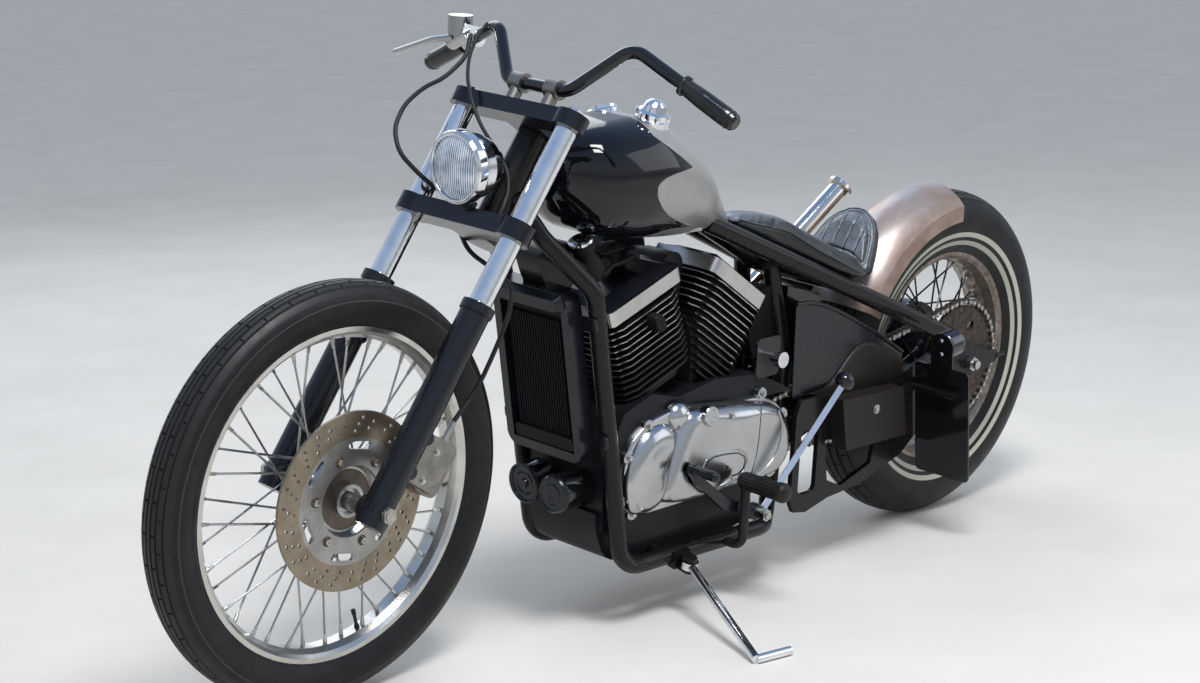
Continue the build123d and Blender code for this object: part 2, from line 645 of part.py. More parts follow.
# Left covers: a flange, a forward generator bulge and the main bulge with a groove between
COVER_FLANGE = 14
COVER_HEIGHT = 44
COVER_LUGS = ((997, 322), (950, 372), (998, 244), (980, 214), (640, 380), (575, 330), (600, 222))
with BuildPart() as left_cover:
    with BuildSketch(side_plane(CRANKCASE_HALF + COVER_FLANGE)):
        with BuildLine():
            Polyline((1006, 236), (1010, 290), (1000, 344), (955, 380), (870, 402), (800, 398),
                     (730, 386), (640, 388), (580, 356), (556, 300), (562, 240), (600, 208), (840, 200),
                     (990, 206), close=True)
        make_face()
        with Locations(*COVER_LUGS):
            Circle(12)
    extrude(amount=COVER_FLANGE)
    with BuildSketch(side_plane(CRANKCASE_HALF + COVER_HEIGHT)):
        with BuildLine():
            Polyline((1014, 268), (996, 332), (960, 362), (926, 362), (906, 338), (940, 258), (950, 212),
                     (996, 216), close=True)
        make_face()
        fillet(vertices(), 16)
    extrude(amount=COVER_HEIGHT)
    with BuildSketch(side_plane(CRANKCASE_HALF + COVER_HEIGHT)):
        with BuildLine():
            Polyline((930, 224), (920, 266), (892, 340), (868, 388), (812, 390), (723, 380), (640, 370),
                     (590, 348), (564, 300), (566, 250), (604, 216), (840, 210), close=True)
        make_face()
        fillet(vertices(), 16)
    extrude(amount=COVER_HEIGHT)
    fillet(left_cover.faces().filter_by(Plane.XZ).sort_by(Axis.Y)[-1].edges(), 11)
    fillet(left_cover.faces().filter_by(Plane.XZ).sort_by(Axis.Y)[-1].edges(), 11)
    with BuildSketch(side_plane(CRANKCASE_HALF + COVER_HEIGHT)):
        with BuildLine():
            Polyline((826, 290), (735, 296), (704, 276), (710, 250), (738, 243), close=True)
        make_face()
        fillet(vertices(), 9)
    extrude(amount=6, mode=Mode.SUBTRACT)
    with BuildSketch(side_plane(CRANKCASE_HALF + COVER_HEIGHT)):
        with BuildLine():
            Polyline((676, 380), (690, 300), (698, 205), (694, 205), (686, 300), (672, 380), close=True)
        make_face()
    extrude(amount=3, mode=Mode.SUBTRACT)
    rod((818, CRANKCASE_HALF + COVER_HEIGHT - 4, 374), (818, CRANKCASE_HALF + COVER_HEIGHT + 4, 376), 19)

with BuildPart() as right_cover:
    with BuildSketch(side_plane(-CRANKCASE_HALF)):
        with Locations((CRANK_X, CRANK_Z - 30)):
            Circle(105)
        with Locations((690, 300)):
            Circle(90)
        with Locations((770, 300)):
            Rectangle(160, 170)
    extrude(amount=38)

with BuildPart() as carburettor:
    rod((CARB_X, -46, CARB_Z), (CARB_X, 20, CARB_Z), 26)
    spun((CARB_X, -93, CARB_Z), (CARB_X, -150, CARB_Z), ((0, 46), (14, 62), (46, 62), (57, 50)))
    rod((CARB_X, -94, CARB_Z), (CARB_X, -45, CARB_Z), 22)
    with BuildSketch(side_plane(30)):
        with Locations((V_SPLIT_X, CARB_Z - 45)):
            Rectangle(2 * (V_GAP - SEAT_GAP), 70)
    extrude(amount=60)

# Cooling
RADIATOR_Z = 480
RADIATOR_WIDE = 150
RADIATOR_TALL = 262
down_along = Vector(DOWN_TOP_X - DOWN_FOOT_X, 0, DOWN_TOP_Z - CRADLE_Z).normalized()
down_ahead = Vector(down_along.Z, 0, -down_along.X)
down_middle = Vector(DOWN_FOOT_X, 0, CRADLE_Z) + down_along * ((RADIATOR_Z - CRADLE_Z) / down_along.Z)
radiator_at = down_middle + down_ahead * (TUBE_R + SEAT_GAP)
radiator_plane = Plane(origin=radiator_at, x_dir=(0, 1, 0), z_dir=down_ahead)
FIN_FIELD = 118
RADIATOR_FINS = 20
with BuildPart() as radiator:
    with BuildSketch(radiator_plane):
        Rectangle(RADIATOR_WIDE, RADIATOR_TALL)
    extrude(amount=20)
    with BuildSketch(radiator_plane.offset(20)):
        with GridLocations(FIN_FIELD / (RADIATOR_FINS - 1), 0, RADIATOR_FINS, 1):
            Rectangle(2.4, RADIATOR_TALL - 36)
    extrude(amount=7)
    with BuildSketch(radiator_plane.offset(20)):
        with Locations((0, -RADIATOR_TALL / 2 + 13)):
            RectangleRounded(RADIATOR_WIDE - 6, 24, 8)
    extrude(amount=12)

with BuildPart() as radiator_cowl:
    with BuildSketch(radiator_plane):
        with Locations((0, 10)):
            RectangleRounded(184, 318, 24)
        Rectangle(RADIATOR_WIDE + 2 * SEAT_GAP, RADIATOR_TALL + 2 * SEAT_GAP, mode=Mode.SUBTRACT)
    extrude(amount=34)
    with BuildSketch(radiator_plane.offset(34)):
        with Locations((0, RADIATOR_TALL / 2 + 19)):
            RectangleRounded(168, 36, 14)
    extrude(amount=14, taper=30)
    with BuildSketch(radiator_plane):
        with Locations(*[(side * 104, up) for side in (-1, 1) for up in (-110, 110)]):
            RectangleRounded(48, 26, 8)
    extrude(amount=4)

with BuildPart() as oil_filter:
    rod((1045.3, 40, 262), (1112, 40, 262), 34)

with BuildPart() as horn:
    rod((1045.3, -46, 262), (1062, -46, 262), 9)
    rod((1060, -46, 262), (1100, -46, 258), 36)

# Exhaust: two headers into one pipe that climbs beside the rear wheel
PIPE_R = 20
PIPE_Y = -163
PIPE_Z = 335
PIPE_KICK_X = 620
PIPE_TIP = (148, -132, 680)
PORT_Y = -FIN_HALF - SEAT_GAP
with BuildPart() as exhaust:
    tube([(1000, PORT_Y, 545), (1000, PIPE_Y, 545), (1000, PIPE_Y, PIPE_Z), (PIPE_KICK_X, PIPE_Y, PIPE_Z),
          PIPE_TIP], PIPE_R, [30, 70, 90])
    tube([(645, PORT_Y, 520), (645, PIPE_Y, 520), (600, PIPE_Y, PIPE_Z + 12)], PIPE_R - 2, [30])
    tip = (Vector(PIPE_TIP) - Vector(PIPE_KICK_X, PIPE_Y, PIPE_Z)).normalized()
    rod(Vector(PIPE_TIP) - tip * 8, Vector(PIPE_TIP), 28)
    rod(Vector(PIPE_TIP) - tip * 70, Vector(PIPE_TIP) + tip, PIPE_R - 2.5, mode=Mode.SUBTRACT)

# Tank: teardrop sections from the neck back, and two caps that tilt with its top
CAP_X = 936
CAP_Y = 55
CAP_Z = 900
CAP_R = 30
CAP_TILT = 16
# x, half width, underside, top
TANK_SECTIONS = ((1128, 52, 786, 872), (1080, 102, 730, 902), (1000, 124, 708, 916), (930, 126, 700, 915),
                 (860, 114, 695, 880), (780, 84, 692, 820), (715, 46, 688, 752), (672, 22, 686, 704))
with BuildPart() as fuel_tank:
    for x, half, low, high in TANK_SECTIONS:
        with BuildSketch(Plane(origin=(x, 0, (low + high) / 2), x_dir=(0, 1, 0), z_dir=(1, 0, 0))):
            RectangleRounded(2 * half, high - low, min(half, (high - low) / 2) * 0.86)
    loft(ruled=True)
    tube(spine_route, SPINE_R + SEAT_GAP, [60, 60], mode=Mode.SUBTRACT)
    for side in (-1, 1):
        seat_at = Vector(CAP_X, side * CAP_Y, CAP_Z)
        cap_up = Vector(0, side * sin(radians(CAP_TILT)), cos(radians(CAP_TILT)))
        rod(seat_at, seat_at + cap_up * 40, CAP_R + 0.5, mode=Mode.SUBTRACT)

# Cap outlines from the recess up: height, radius
LEFT_CAP = ((0, 30), (18, 30), (20, 27), (30, 27), (33, 22), (44, 18), (50, 11), (52, 5))
RIGHT_CAP = ((0, 30), (14, 30), (17, 27), (22, 26))
with BuildPart() as tank_caps:
    for side, profile in ((1, LEFT_CAP), (-1, RIGHT_CAP)):
        seat_at = Vector(CAP_X, side * CAP_Y, CAP_Z)
        cap_up = Vector(0, side * sin(radians(CAP_TILT)), cos(radians(CAP_TILT)))
        spun(seat_at + cap_up * SEAT_GAP, seat_at + cap_up * 40, profile)

# Seat: a crowned saddle that widens to the rear, and a back pad with a round top
# x, half width, underside, outer edge, shoulder, crown
SEAT_SECTIONS = ((664, 28, 697, 701, 703, 705), (626, 42, 678, 690, 698, 700), (584, 50, 657, 679, 690, 694),
                 (533, 60, 633, 664, 681, 686), (480, 84, 610, 630, 656, 666), (426, 109, 587, 603, 634, 644),
                 (373, 116, 573.3, 584, 612, 624), (306, 90, 574, 580, 592, 602))
SEAT_SHOULDER = 0.6
# Back pad from its foot up: half width, distance up its face
BACK_OUTLINE = ((92, -28), (79, 5), (70, 32), (58, 58), (40, 78), (20, 90))
BACK_AT = (307, 0, 600)
BACK_LEAN = 34
BACK_THICK = 28
with BuildPart() as seat:
    for x, half, low, edge, shoulder, crown in SEAT_SECTIONS:
        side = [(half, low), (half, edge), (SEAT_SHOULDER * half, shoulder)]
        with BuildSketch(Plane(origin=(x, 0, 0), x_dir=(0, 1, 0), z_dir=(1, 0, 0))):
            with BuildLine():
                Polyline(*side, (0, crown), *[(-y, z) for y, z in reversed(side)], close=True)
            make_face()
    loft(ruled=True)
    with BuildSketch(Plane(origin=BACK_AT, x_dir=(0, 1, 0),
                           z_dir=(cos(radians(BACK_LEAN)), 0, sin(radians(BACK_LEAN))))):
        with BuildLine():
            Polyline(*BACK_OUTLINE, (0, 94), *[(-y, up) for y, up in reversed(BACK_OUTLINE)], close=True)
        make_face()
    extrude(amount=-BACK_THICK)

with BuildPart() as seat_pan:
    with BuildSketch(Plane.XZ.offset(-100)):
        with BuildLine():
            Polyline((520, 627), (430, 587.6), (330, 561.6), (325, 545), (430, 560), (520, 605), close=True)
        make_face()
    extrude(amount=200)
    with BuildSketch(Plane.XY.offset(500)):
        with BuildLine():
            Polyline((530, 40), (430, 60), (310, 66), (310, -66), (430, -60), (530, -40), close=True)
        make_face()
    extrude(amount=300, mode=Mode.INTERSECT)

# Rear fender over the tyre
with BuildPart() as rear_fender:
    with BuildSketch(Plane(origin=rear_axle_at, x_dir=(cos(radians(25)), 0, sin(radians(25))),
                           z_dir=(-sin(radians(25)), 0, cos(radians(25))))):
        with BuildLine():
            outer = FENDER_R + FENDER_THICK
            Polyline((outer - 70, FENDER_HALF), (outer - 38, FENDER_HALF))
            ThreePointArc((outer - 38, FENDER_HALF), (outer, 0), (outer - 38, -FENDER_HALF))
            Polyline((outer - 38, -FENDER_HALF), (outer - 70, -FENDER_HALF),
                     (outer - 70, -FENDER_HALF + FENDER_THICK), (outer - 38, -FENDER_HALF + FENDER_THICK))
            ThreePointArc((outer - 38, -FENDER_HALF + FENDER_THICK), (FENDER_R, 0),
                          (outer - 38, FENDER_HALF - FENDER_THICK))
            Polyline((outer - 38, FENDER_HALF - FENDER_THICK), (outer - 70, FENDER_HALF - FENDER_THICK),
                     (outer - 70, FENDER_HALF))
        make_face()
    revolve(axis=Axis(rear_axle_at, (0, -1, 0)), revolution_arc=63)

# Lamp and blank plate beside the rear wheel, held by an arm from the left axle plate
PLATE_AT = (171, 185, 262)
PLATE_TILT = 7.7
PLATE_THICK = 4
PLATE_LAMP_UP = 158
# The lamp's seat is set in from the plate's face, so a number plate lies flat below it
PLATE_STEP = 1
# Tail lamp from its seat back: distance, radius
LAMP_SHELL = ((0, 24), (4, 27), (36, 27), (40, 25), (46, 14))
plate_plane = Plane(origin=PLATE_AT, x_dir=(0, 1, 0),
                    z_dir=(cos(radians(PLATE_TILT)), 0, -sin(radians(PLATE_TILT))))
with BuildPart() as tail_lamp:
    spun(plate_plane.from_local_coords((0, PLATE_LAMP_UP, PLATE_STEP - SEAT_GAP)),
         plate_plane.from_local_coords((0, PLATE_LAMP_UP, -50)), LAMP_SHELL)

with BuildPart() as plate_bracket:
    with BuildSketch(plate_plane):
        RectangleRounded(130, 232, 10)
    extrude(amount=PLATE_THICK)
    with BuildSketch(plate_plane.offset(PLATE_STEP)):
        with Locations((0, PLATE_LAMP_UP)):
            Circle(28)
        with Locations((0, PLATE_LAMP_UP - 28)):
            Rectangle(52, 56)
    extrude(amount=PLATE_THICK - PLATE_STEP)
    with BuildSketch(side_plane(DROPOUT_Y + DROPOUT_THICK + SEAT_GAP + 5)):
        with Locations((205, 328)):
            RectangleRounded(44, 30, 8)
    extrude(amount=5)
    rod((200, DROPOUT_Y + DROPOUT_THICK + 2, 328), (200, 226, 328), 7)
    for y in (140, 216):
        rod((plate_plane.from_local_coords((0, 66, 2)).X, y, 328), (200, y, 328), 6)

with BuildPart() as side_box:
    with BuildSketch(side_plane(150)):
        with BuildLine():
            Polyline((452, 345), (262, 340), (240, 240), (430, 240), close=True)
        make_face()
    extrude(amount=34)

with BuildPart() as key_switch:
    rod((620, 97, 446), (620, 134, 448), 15)
    with BuildSketch(side_plane(CRANKCASE_HALF + 5 + SEAT_GAP)):
        with Locations((620, 446)):
            RectangleRounded(66, 76, 12)
    extrude(amount=5)

with BuildPart() as battery_box:
    with BuildSketch(side_plane(BATTERY_HALF)):
        with BuildLine():
            Polyline((498, 552), (400, 524), (385, BATTERY_Z), (509, BATTERY_Z), close=True)
        make_face()
    extrude(amount=2 * BATTERY_HALF)
    add(seat_pan.part, mode=Mode.SUBTRACT)

# Rider's controls: pegs, a toe lever and a tall hand lever on one pivot, and a brake pedal
PEG_X = 740
PEG_Z = 244
PEG_ROOT_Y = 152
PEG_POST_Y = 164
TOE_ARM_Y = 146
# Peg from its inner end: distance, radius
PEG_PROFILE = ((0, 13), (6, 16), (92, 16), (102, 15), (108, 10), (111, 4))
with BuildPart() as foot_pegs:
    for side in (-1, 1):
        spun((PEG_X, side * PEG_ROOT_Y, PEG_Z), (PEG_X, side * 300, PEG_Z), PEG_PROFILE)
        tube([(PEG_X, side * (CRADLE_Y + TUBE_R + SEAT_GAP), CRADLE_Z), (PEG_X, side * PEG_POST_Y, CRADLE_Z),
              (PEG_X, side * PEG_POST_Y, PEG_Z - 4)], 9, [22])

with BuildPart() as shift_lever:
    rod((PEDAL_X, 162, PEDAL_Z), (487, 176, 393), 8, sides=4)
    spun((494, 175.5, 385), (470, 177, 411), ((0, 9), (5, 16), (13, 19), (22, 17), (28, 10)))
    rod((PEDAL_X, CRANKCASE_HALF + SEAT_GAP, PEDAL_Z), (PEDAL_X, 172, PEDAL_Z), 10)
    rod((PEDAL_X, 171, PEDAL_Z), (PEDAL_X, 179, PEDAL_Z), 12, sides=6)

with BuildPart() as pedals:
    with BuildSketch(side_plane(TOE_ARM_Y + 5)):
        with BuildLine():
            Polyline((PEDAL_X, PEDAL_Z + 10), (772, 212), (846, 268), (861, 287), (878, 281), (858, 254),
                     (782, 194), (PEDAL_X, PEDAL_Z - 10), close=True)
        make_face()
        with Locations((870, 286)):
            Circle(11)
        with Locations((PEDAL_X, PEDAL_Z)):
            Circle(16)
            Circle(10 + SEAT_GAP, mode=Mode.SUBTRACT)
    extrude(amount=10)
    spun((870, TOE_ARM_Y, 286), (870, 260, 286), ((0, 8), (3, 9.5), (54, 9.5), (60, 7), (62, 3)))
    rod((792, -CRADLE_Y - TUBE_R - SEAT_GAP, CRADLE_Z), (792, -156, CRADLE_Z), 11)
    rod((792, -146, CRADLE_Z), (880, -164, 262), 8)
    spun((880, -158, 262), (880, -260, 262), ((0, 9), (4, 10), (42, 10), (47, 6)))

# Side stand
STAND_PIVOT = Vector(868, 150, 108)
STAND_LEG_R = 8
STAND_HEEL_AT = (1000, 428)
STAND_TOE_AT = (925, 440)
STAND_PIN_R = 7
STAND_EYE_R = 16
STAND_EYE_H = 14
STAND_FOLD = 100


def on_ground(x, y, radius):
    """Centre of a round bar that lies on the ground when the machine leans."""
    sink = CROWN_HALF * sin(radians(LEAN))
    return Vector(x, y, y * tan(radians(LEAN)) + (radius - sink) / cos(radians(LEAN)))


stand_heel = on_ground(*STAND_HEEL_AT, STAND_LEG_R)
stand_toe = on_ground(*STAND_TOE_AT, STAND_LEG_R)
stand_down = (stand_heel - STAND_PIVOT).normalized()
stand_back = Vector(-0.985, 0.17, 0)
stand_pin = stand_down.cross(stand_back).normalized()
with BuildPart() as side_stand:
    rod(STAND_PIVOT - stand_pin * STAND_EYE_H / 2, STAND_PIVOT + stand_pin * STAND_EYE_H / 2, STAND_EYE_R)
    rod(STAND_PIVOT + stand_down * 10, stand_heel, STAND_LEG_R)
    rod(stand_heel, stand_toe, STAND_LEG_R)
    rod(STAND_PIVOT - stand_pin * 20, STAND_PIVOT + stand_pin * 20, STAND_PIN_R + FIT, mode=Mode.SUBTRACT)

with BuildPart() as stand_bracket:
    rod(STAND_PIVOT - stand_pin * 12, STAND_PIVOT + stand_pin * 16, STAND_PIN_R)
    rod(STAND_PIVOT - stand_pin * 15, STAND_PIVOT - stand_pin * 8, 12)
    rod(STAND_PIVOT + stand_pin * 8, STAND_PIVOT + stand_pin * 15, 12)
    web = Plane(origin=STAND_PIVOT - stand_pin * 15, x_dir=(0, -1, 0), z_dir=stand_pin)
    with BuildSketch(web):
        with Locations((STAND_PIVOT.Y - CRADLE_Y - 6, 0)):
            Rectangle(30, 40)
    extrude(amount=30)
    for level in (-15, 8):
        with BuildSketch(web.offset(15 + level)):
            with Locations((12, 0)):
                Rectangle(30, 24)
        extrude(amount=7)
    rod((700, CRADLE_Y, CRADLE_Z), (1000, CRADLE_Y, CRADLE_Z), TUBE_R + SEAT_GAP, mode=Mode.SUBTRACT)

# Brake hose from the lever to the caliper, and the throttle cable down to the steering head
HOSE_R = 4
CABLE_R = 3.2


def bends(points):
    """The largest even arcs that the runs of a route leave room for."""
    found = []
    for before, at, after in zip(points, points[1:], points[2:]):
        near, far = Vector(at) - Vector(before), Vector(after) - Vector(at)
        half = radians(near.get_angle(far)) / 2
        found.append(round(0.45 * min(near.length, far.length) / tan(half), 2))
    return found


hose_drop = Vector(1148, -196, 1000) - union_at
hose_drop = (hose_drop - bar_slope * hose_drop.dot(bar_slope)).normalized()
caliper_top = CALIPER_UP + CALIPER_TALL / 2 + SEAT_GAP
hose_route = [union_at + hose_drop * (UNION_R + SEAT_GAP), union_at + hose_drop * 50, (1202, -184, 972),
              (1262, -172, 962), (1318, -158, 938), (1354, -140, 904), (1362, -116, 868), (1344, -95, 840),
              (1319, -80, 814), (1287, -72, 795), (1273, -62, 745), (1276, -34, 706), (1262, 14, 682),
              (1256, 58, 664), (1279, 78, 620), (1310, 75, 555), (1340, 70, 498),
              fork_point(caliper_top + 38, CALIPER_AHEAD, 76), fork_point(caliper_top, CALIPER_AHEAD, 76)]
clamp_top = LOWER_CLAMP_Z + LOWER_CLAMP_H + SEAT_GAP
cable_route = [(1118, -172, 1062), (1152, -158, 1046), (1190, -138, 1016), (1221, -108, 985),
               (1240, -76, 954), (1246, -44, 914), (1235, -14, 876), (1237, 17, 846), (1256, 40, 818),
               fork_point(clamp_top + 24, -20, 50), fork_point(clamp_top, -20, 50)]
with BuildPart() as brake_hose:
    tube(hose_route, HOSE_R, bends(hose_route))

with BuildPart() as throttle_cable:
    tube(cable_route, CABLE_R, bends(cable_route))
print("bends", bends(hose_route), bends(cable_route))

# The whole machine leans onto its stand, and its origin comes under the middle of its box
pieces = {
    "front_tyre": front_tyre, "front_rim": front_rim, "front_hub": front_hub, "brake_disc": brake_disc,
    "rear_tyre": rear_tyre, "rear_rim": rear_rim, "rear_hub": rear_hub, "rear_sprocket": rear_sprocket,
    "chain": chain, "rear_axle": rear_axle, "brake_plate": brake_plate, "fork_legs": fork_legs,
    "stanchions": stanchions, "front_axle": front_axle, "lower_clamp": lower_clamp,
    "upper_clamp": upper_clamp, "handlebar": handlebar, "grips": grips, "risers": risers,
    "brake_lever": brake_lever, "headlamp": headlamp, "lamp_bracket": lamp_bracket, "caliper": caliper,
    "main_frame": main_frame, "rear_frame": rear_frame, "crankcase": crankcase,
    "front_cylinder": front_cylinder, "rear_cylinder": rear_cylinder, "head_covers": head_covers,
    "left_cover": left_cover, "right_cover": right_cover, "carburettor": carburettor,
    "radiator": radiator, "radiator_cowl": radiator_cowl, "oil_filter": oil_filter, "horn": horn,
    "exhaust": exhaust, "fuel_tank": fuel_tank, "tank_caps": tank_caps, "seat": seat,
    "seat_pan": seat_pan, "rear_fender": rear_fender, "tail_lamp": tail_lamp,
    "plate_bracket": plate_bracket, "side_box": side_box, "key_switch": key_switch,
    "battery_box": battery_box, "foot_pegs": foot_pegs, "pedals": pedals, "shift_lever": shift_lever,
    "side_stand": side_stand, "stand_bracket": stand_bracket, "brake_hose": brake_hose,
    "throttle_cable": throttle_cable,
}
leaned = {name: piece.part.rotate(Axis.X, -LEAN) for name, piece in pieces.items()}
whole = Compound(list(leaned.values())).bounding_box()
home = Location((-whole.center().X, -whole.center().Y, -whole.min.Z))
os.makedirs("parts", exist_ok=True)
for name, shape in leaned.items():
    placed = shape.moved(home)
    placed.label = name
    export_step(placed, "parts/" + name + ".step")
print("shift", home.position, "box", whole.size)
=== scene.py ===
from math import atan2, ceil, cos, exp, hypot, pi, radians, sin, sqrt

import bmesh
import bpy
from mathutils import Matrix, Vector
from mathutils.bvhtree import BVHTree


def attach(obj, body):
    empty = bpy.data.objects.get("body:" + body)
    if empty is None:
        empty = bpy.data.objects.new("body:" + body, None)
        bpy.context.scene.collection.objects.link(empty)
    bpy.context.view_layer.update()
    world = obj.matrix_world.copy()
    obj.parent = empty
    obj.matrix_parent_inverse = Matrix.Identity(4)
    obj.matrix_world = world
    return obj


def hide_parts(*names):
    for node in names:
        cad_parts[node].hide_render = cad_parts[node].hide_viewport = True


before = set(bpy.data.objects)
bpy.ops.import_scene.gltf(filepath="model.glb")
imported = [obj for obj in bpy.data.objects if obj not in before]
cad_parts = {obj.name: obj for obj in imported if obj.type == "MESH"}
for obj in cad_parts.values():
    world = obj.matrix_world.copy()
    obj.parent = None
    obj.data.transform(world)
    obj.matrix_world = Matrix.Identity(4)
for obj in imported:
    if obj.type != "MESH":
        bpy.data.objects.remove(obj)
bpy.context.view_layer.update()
scene = bpy.context.scene

# The model's own upright millimetres, and the lean onto the side stand
LEAN = radians(5)
HOME = Vector((-806.0, -75.1339, 0.522934))
RAKE = radians(34)
ROLL = Matrix.Rotation(-LEAN, 4, "X")
PLACE = Matrix.Scale(0.001, 4) @ Matrix.Translation(HOME) @ ROLL
FRONT_AXLE = Vector((1600, 0, 352))
REAR_AXLE = Vector((0, 0, 340))
FORK_UP = Vector((-sin(RAKE), 0, cos(RAKE)))
FORK_AHEAD = Vector((cos(RAKE), 0, sin(RAKE)))


def fork_point(up, ahead=0.0, y=0.0):
    return FRONT_AXLE + FORK_UP * up + FORK_AHEAD * ahead + Vector((0, y, 0))


def add_object(name, data):
    thing = bpy.data.objects.new(name, data)
    scene.collection.objects.link(thing)
    return thing


# Camera, as the photograph was taken; its focal length is in the photograph's pixels
CAMERA_AT = Vector((4080, 2931, 1621))
AZIMUTH, ELEVATION, TWIST = radians(-136.65), radians(-14.6), radians(2.94)
FOCAL_PIXELS, PHOTO_WIDTH, SENSOR = 2479, 1200, 36
turn = (Matrix.Rotation(AZIMUTH - pi / 2, 4, "Z") @ Matrix.Rotation(pi / 2 + ELEVATION, 4, "X")
        @ Matrix.Rotation(TWIST, 4, "Z"))
data = bpy.data.cameras.new("camera")
data.lens = FOCAL_PIXELS / PHOTO_WIDTH * SENSOR
data.sensor_width = SENSOR
data.clip_end = 100
camera = add_object("camera", data)
camera.matrix_world = Matrix.Translation(PLACE @ CAMERA_AT) @ ROLL @ turn
scene.camera = camera


# Forms
def place(point):
    return PLACE @ Vector(point)


def circle(sides):
    """Cosine and sine of even steps round a circle."""
    return [(cos(2 * pi * i / sides), sin(2 * pi * i / sides)) for i in range(sides)]


def square_to(axis):
    """The axis, and two directions at right angles to it."""
    along = Vector(axis).normalized()
    across = along.orthogonal().normalized()
    return along, across, along.cross(across)


def on_wheel(centre, radius, angle, y=0.0):
    return centre + Vector((radius * cos(angle), y, radius * sin(angle)))


def smooth(table, at, column):
    """A smooth value between the rows of a table whose first column rises."""
    index = 0
    while index < len(table) - 2 and at > table[index + 1][0]:
        index += 1
    low, high = table[index], table[index + 1]
    before, after = table[max(index - 1, 0)], table[min(index + 2, len(table) - 1)]
    width = high[0] - low[0]
    share = min(1.0, max(0.0, (at - low[0]) / width))
    start = (high[column] - before[column]) / (high[0] - before[0]) * width
    end = (after[column] - low[column]) / (after[0] - low[0]) * width
    square, cube = share ** 2, share ** 3
    return ((2 * cube - 3 * square + 1) * low[column] + (cube - 2 * square + share) * start
            + (3 * square - 2 * cube) * high[column] + (cube - square) * end)


class Form:
    """Points and faces of one piece, in upright millimetres."""

    def __init__(self):
        self.points, self.faces = [], []

    def rings(self, rings, closed=False):
        """Joins rings of points side by side, and caps the ends or closes the loop."""
        start, count, rows = len(self.points), len(rings[0]), len(rings)
        for ring in rings:
            self.points.extend(Vector(point) for point in ring)
        for row in range(rows if closed else rows - 1):
            near, far = start + row * count, start + (row + 1) % rows * count
            for at in range(count):
                step = (at + 1) % count
                self.faces.append((near + at, near + step, far + step, far + at))
        if not closed:
            last = start + (rows - 1) * count
            self.faces.append(tuple(range(start + count - 1, start - 1, -1)))
            self.faces.append(tuple(range(last, last + count)))

    def spun(self, start, towards, profile, sides=24):
        """Turns (distance, radius) points about the line from start."""
        start = Vector(start)
        along, across, over = square_to(Vector(towards) - start)
        self.rings([[start + along * distance + (across * c + over * s) * radius for c, s in circle(sides)]
                    for distance, radius in profile])

    def rod(self, start, end, radius, sides=12):
        self.spun(start, end, ((0, radius), ((Vector(end) - Vector(start)).length, radius)), sides)

    def screw(self, at, out, radius, height, sides=6):
        """A washer and a head with a chamfered top."""
        top = Vector(at) + Vector(out)
        self.spun(at, top, ((-0.5, radius * 1.35), (0.8, radius * 1.35)), 20)
        self.spun(at, top, ((0.8, radius), (height - 0.8, radius), (height, radius * 0.8)), sides)

    def ring(self, centre, axis, radius, thick, sides=48, around=10):
        along, across, over = square_to(axis)
        self.rings([[Vector(centre) + (across * c + over * s) * (radius + thick * u) + along * thick * v
                     for u, v in circle(around)] for c, s in circle(sides)], closed=True)

    def tube(self, path, radius, sides=10):
        path = [Vector(point) for point in path]
        side = (path[1] - path[0]).orthogonal().normalized()
        rings = []
        for i, point in enumerate(path):
            along = (path[min(i + 1, len(path) - 1)] - path[max(i - 1, 0)]).normalized()
            side = (side - along * side.dot(along)).normalized()
            over = along.cross(side)
            rings.append([point + (side * c + over * s) * radius for c, s in circle(sides)])
        self.rings(rings)

    def plate(self, outline, *levels):
        """An outline of x and z between two or more values of y."""
        self.rings([[(x, y, z) for x, z in outline] for y in levels])

    def mesh(self, name):
        mesh = bpy.data.meshes.new(name)
        mesh.from_pydata([place(point) for point in self.points], [], self.faces)
        form = bmesh.new()
        form.from_mesh(mesh)
        bmesh.ops.recalc_face_normals(form, faces=form.faces)
        form.to_mesh(mesh)
        form.free()
        return mesh

    def make(self, name, material, slot, body="frame", replaces=(), crease=38):
        dress(add_object(name, self.mesh(name)), material, body, replaces, crease)


def dress(piece, material, body, replaces, crease):
    """Gives a piece its finish, and says what it rides on and which nodes it replaces."""
    piece.data.materials.clear()
    piece.data.materials.append(material)
    piece.data.shade_smooth()
    piece.data.set_sharp_from_angle(angle=radians(crease))
    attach(piece, body)
    if replaces:
        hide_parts(*replaces)


# Materials
def operation(kind):
    return lambda first, second=0.0: first.nodes.math(kind, first, second)


class Value:
    """A node's output that can be added, multiplied and so on; | is the larger of two."""

    def __init__(self, nodes, node, out=0):
        self.nodes, self.socket = nodes, node.outputs[out]

    __add__, __sub__, __mul__ = operation("ADD"), operation("SUBTRACT"), operation("MULTIPLY")
    __or__, __abs__ = operation("MAXIMUM"), operation("ABSOLUTE")

    def __rsub__(self, other):
        return self.nodes.math("SUBTRACT", other, self)


